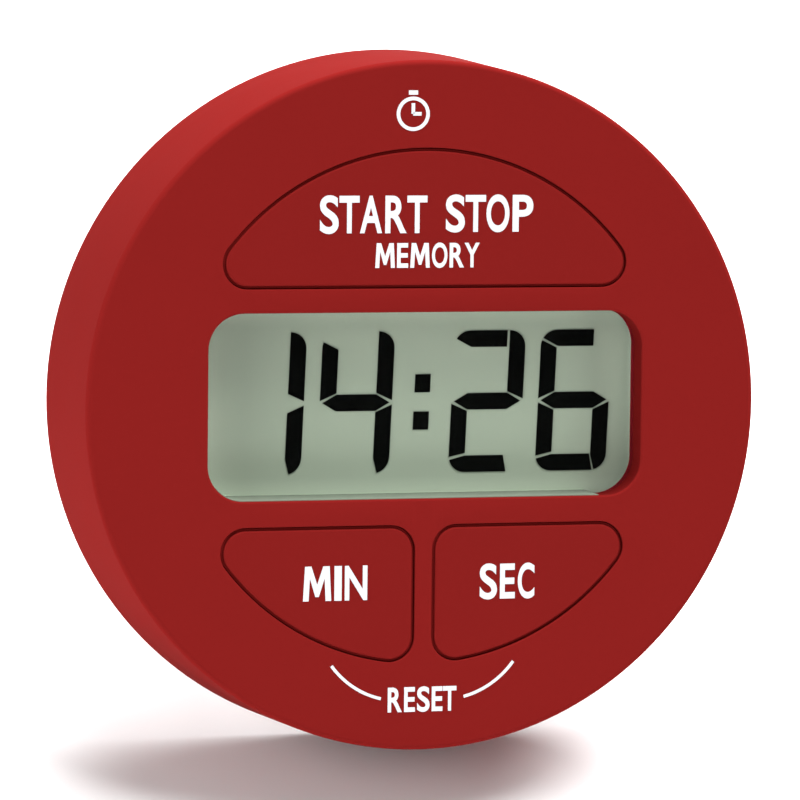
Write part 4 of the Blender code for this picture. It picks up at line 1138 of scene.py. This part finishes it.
def make_screws():
    """Pan-head screws with a cross recess: one is modelled and the other two are copies."""
    seat = BODY_DEPTH - SCREW_HEAD_SINK - SCREW_HEAD_THICKNESS
    top = seat + SCREW_HEAD_THICKNESS
    shank, length, radius = SCREW_SHANK_RADIUS, SCREW_LENGTH, SCREW_HEAD_RADIUS
    profile = [(0, seat - length), (shank * 0.6, seat - length), (shank, seat - length + shank),
               (shank, seat), (radius, seat), (radius, seat + SCREW_HEAD_THICKNESS * 0.35)]
    for step in range(1, 6):
        angle = pi / 2 * step / 6
        drop = SCREW_HEAD_THICKNESS * 0.65 * (1 - sin(angle))
        profile.append((radius * (0.35 + 0.65 * cos(angle)), top - drop))
    profile.append((0, top))
    model = turned(profile)
    arm, half, floor = radius * 0.55, radius * 0.13, top - SCREW_HEAD_THICKNESS * 0.55
    cut(model, block(-arm, arm, floor, 2 * top, -half, half))
    cut(model, block(-half, half, floor, 2 * top, -arm, arm))
    soften_edges(model, 0.00003, 1)
    for side, angle in SCREW_ANGLES.items():
        screw = copy_of(model)
        x, z = at_angle(BOSS_CIRCLE, radians(angle))
        spin = Matrix.Rotation(radians(angle * 0.7), 4, "Y")
        screw.data.transform(Matrix.Translation((x, 0, z)) @ spin)
        smooth(screw)
        place(screw, "cover_screw_" + side, "case", "bright_steel", ["case_screw_" + side])
    bpy.data.objects.remove(model)


# ---- stand leg ----
def make_leg():
    """The frame-shaped leg with rounded edges, a hinge barrel and grip ribs on its foot."""
    wall = BARREL_RADIUS + LEG_GAP - GAP
    heel = (wall - BARREL_RADIUS * sin(LEG_OPEN)) / cos(LEG_OPEN)
    draw_leg(0, HINGE.z + heel, LEG_FRONT)
    piece = solid(LEG_THICKNESS)
    draw_leg_window(0, 0)
    cut(piece, solid(BEHIND))
    soften_edges(piece, LEG_EDGE_ROUND * 0.9, 3)
    weld(piece, cross_bar(BARREL_RADIUS, LEG_HALF_WIDTH))
    cut(piece, cross_bar(PIN_RADIUS + GAP, 2 * LEG_HALF_WIDTH))
    rib_z = LEG_BOTTOM + LEG_FOOT_HEIGHT / 2
    for step in range(GRIP_RIBS):
        x = GRIP_RIB_PITCH * (step - (GRIP_RIBS - 1) / 2)
        half = GRIP_RIB_WIDTH / 2
        draw_rounded_rectangle(x - half, x + half, rib_z - GRIP_RIB_LENGTH / 2,
                               rib_z + GRIP_RIB_LENGTH / 2, half * 0.98, half * 0.98, MARK_FLOOR)
        cut(piece, solid(BODY_DEPTH))
    smooth(piece)
    opened = Matrix.Translation(HINGE) @ Matrix.Rotation(LEG_OPEN, 4, "X") @ Matrix.Translation(-HINGE)
    place(piece, "leg", "stand_leg", "red_plastic", ["stand_leg"], turn=opened)


# ---- parts that keep their own mesh ----
KEPT_NODES = {
    "display_glass": "lcd_front_glass lcd_rear_glass",
    "reflector_film": "lcd_reflector",
    "white_plastic": "lcd_holder",
    "silicone_rubber": "lcd_zebra_strip start_stop_dome min_dome sec_dome",
    "carbon_rubber": "start_stop_pill min_pill sec_pill chip_cover",
    "board_laminate": "circuit_board",
    "bright_steel": "quartz_crystal board_screw_left board_screw_right button_cell hinge_pin "
                    "cell_negative_contact cell_positive_contact",
    "brass_sheet": "piezo_brass_disc",
    "ceramic": "piezo_ceramic board_capacitor",
    "black_plastic": "board_resistor_1 board_resistor_2 piezo_wire_black",
    "red_insulation": "piezo_wire_red",
}


def dress_kept_nodes():
    """Give the inner parts their finishes."""
    for finish, nodes in KEPT_NODES.items():
        for node in nodes.split():
            mesh = frame["nodes"][node].data
            mesh.materials.clear()
            mesh.materials.append(FINISHES[finish])


# ---- studio ----
CAMERA_AZIMUTH = radians(15.884)
CAMERA_ELEVATION = radians(5.028)
CAMERA_ROLL = radians(0.632)
CAMERA_DISTANCE = 0.4707
CAMERA_LENS = 241.4
CAMERA_SHIFT = (-0.0318, 0.0087)
LIT_MIDDLE = Vector((0, 0, 0.03))
# Each light has its place from the middle, its size and its power in watts.
LIGHTS = {
    "left_light": ((-0.72, -0.22, 0.32), 0.6, 2.1),
    "low_light": ((-0.45, -0.10, 0.04), 0.3, 0.9),
    "top_light": ((0.27, 0.30, 0.80), 0.9, 27.5),
    "front_light": ((-0.20, -0.85, 0.55), 0.8, 1.2),
}
WORLD_STRENGTH = 0.30


def make_camera():
    """A long lens a little to the left of the face and above it."""
    level = cos(CAMERA_ELEVATION)
    away = Vector((-sin(CAMERA_AZIMUTH) * level, -cos(CAMERA_AZIMUTH) * level, sin(CAMERA_ELEVATION)))
    side = (-away).cross(Vector((0, 0, 1))).normalized()
    top = side.cross(-away)
    rolled_side = side * cos(CAMERA_ROLL) + top * sin(CAMERA_ROLL)
    rolled_top = top * cos(CAMERA_ROLL) - side * sin(CAMERA_ROLL)
    aim = Matrix((rolled_side, rolled_top, away)).transposed().to_4x4()
    data = bpy.data.cameras.new("studio_camera")
    data.lens = CAMERA_LENS
    data.shift_x, data.shift_y = CAMERA_SHIFT
    data.clip_start = 0.01
    camera = bpy.data.objects.new("studio_camera", data)
    camera.matrix_world = LEAN @ Matrix.Translation(away * CAMERA_DISTANCE) @ aim
    bpy.context.scene.collection.objects.link(camera)
    bpy.context.scene.camera = camera


def add_soft_light(name, place_from_middle, size, energy):
    """A square soft light that faces the middle of the timer."""
    data = bpy.data.lights.new(name, "AREA")
    data.size = size
    data.energy = energy
    light = bpy.data.objects.new(name, data)
    light.location = LIT_MIDDLE + Vector(place_from_middle)
    light.rotation_euler = (-Vector(place_from_middle)).to_track_quat("-Z", "Y").to_euler()
    bpy.context.scene.collection.objects.link(light)


def make_studio():
    """A pale floor, a white room and four soft lights."""
    bpy.ops.object.select_all(action="DESELECT")
    bpy.ops.mesh.primitive_plane_add(size=6.0)
    floor = bpy.context.object
    floor.name = "studio_floor"
    paper = make_finish("pale_paper", (0.90, 0.90, 0.90), 0.8, drift=0.0, fleck=0.0, specular_ior_level=0.1)
    floor.data.materials.append(paper)
    for name, light in LIGHTS.items():
        add_soft_light(name, *light)
    world = bpy.data.worlds.new("studio_world")
    world.use_nodes = True
    background = world.node_tree.nodes["Background"]
    background.inputs["Color"].default_value = (1, 1, 1, 1)
    background.inputs["Strength"].default_value = WORLD_STRENGTH
    bpy.context.scene.world = world
    bpy.context.scene.view_settings.view_transform = "Standard"


def build():
    """Make every piece, then the studio."""
    make_case_front()
    make_keys()
    make_window()
    make_display_film()
    make_figures()
    make_printing()
    make_back_cover()
    make_door()
    make_magnet_disc()
    make_screws()
    make_leg()
    dress_kept_nodes()
    make_studio()
    make_camera()


build()
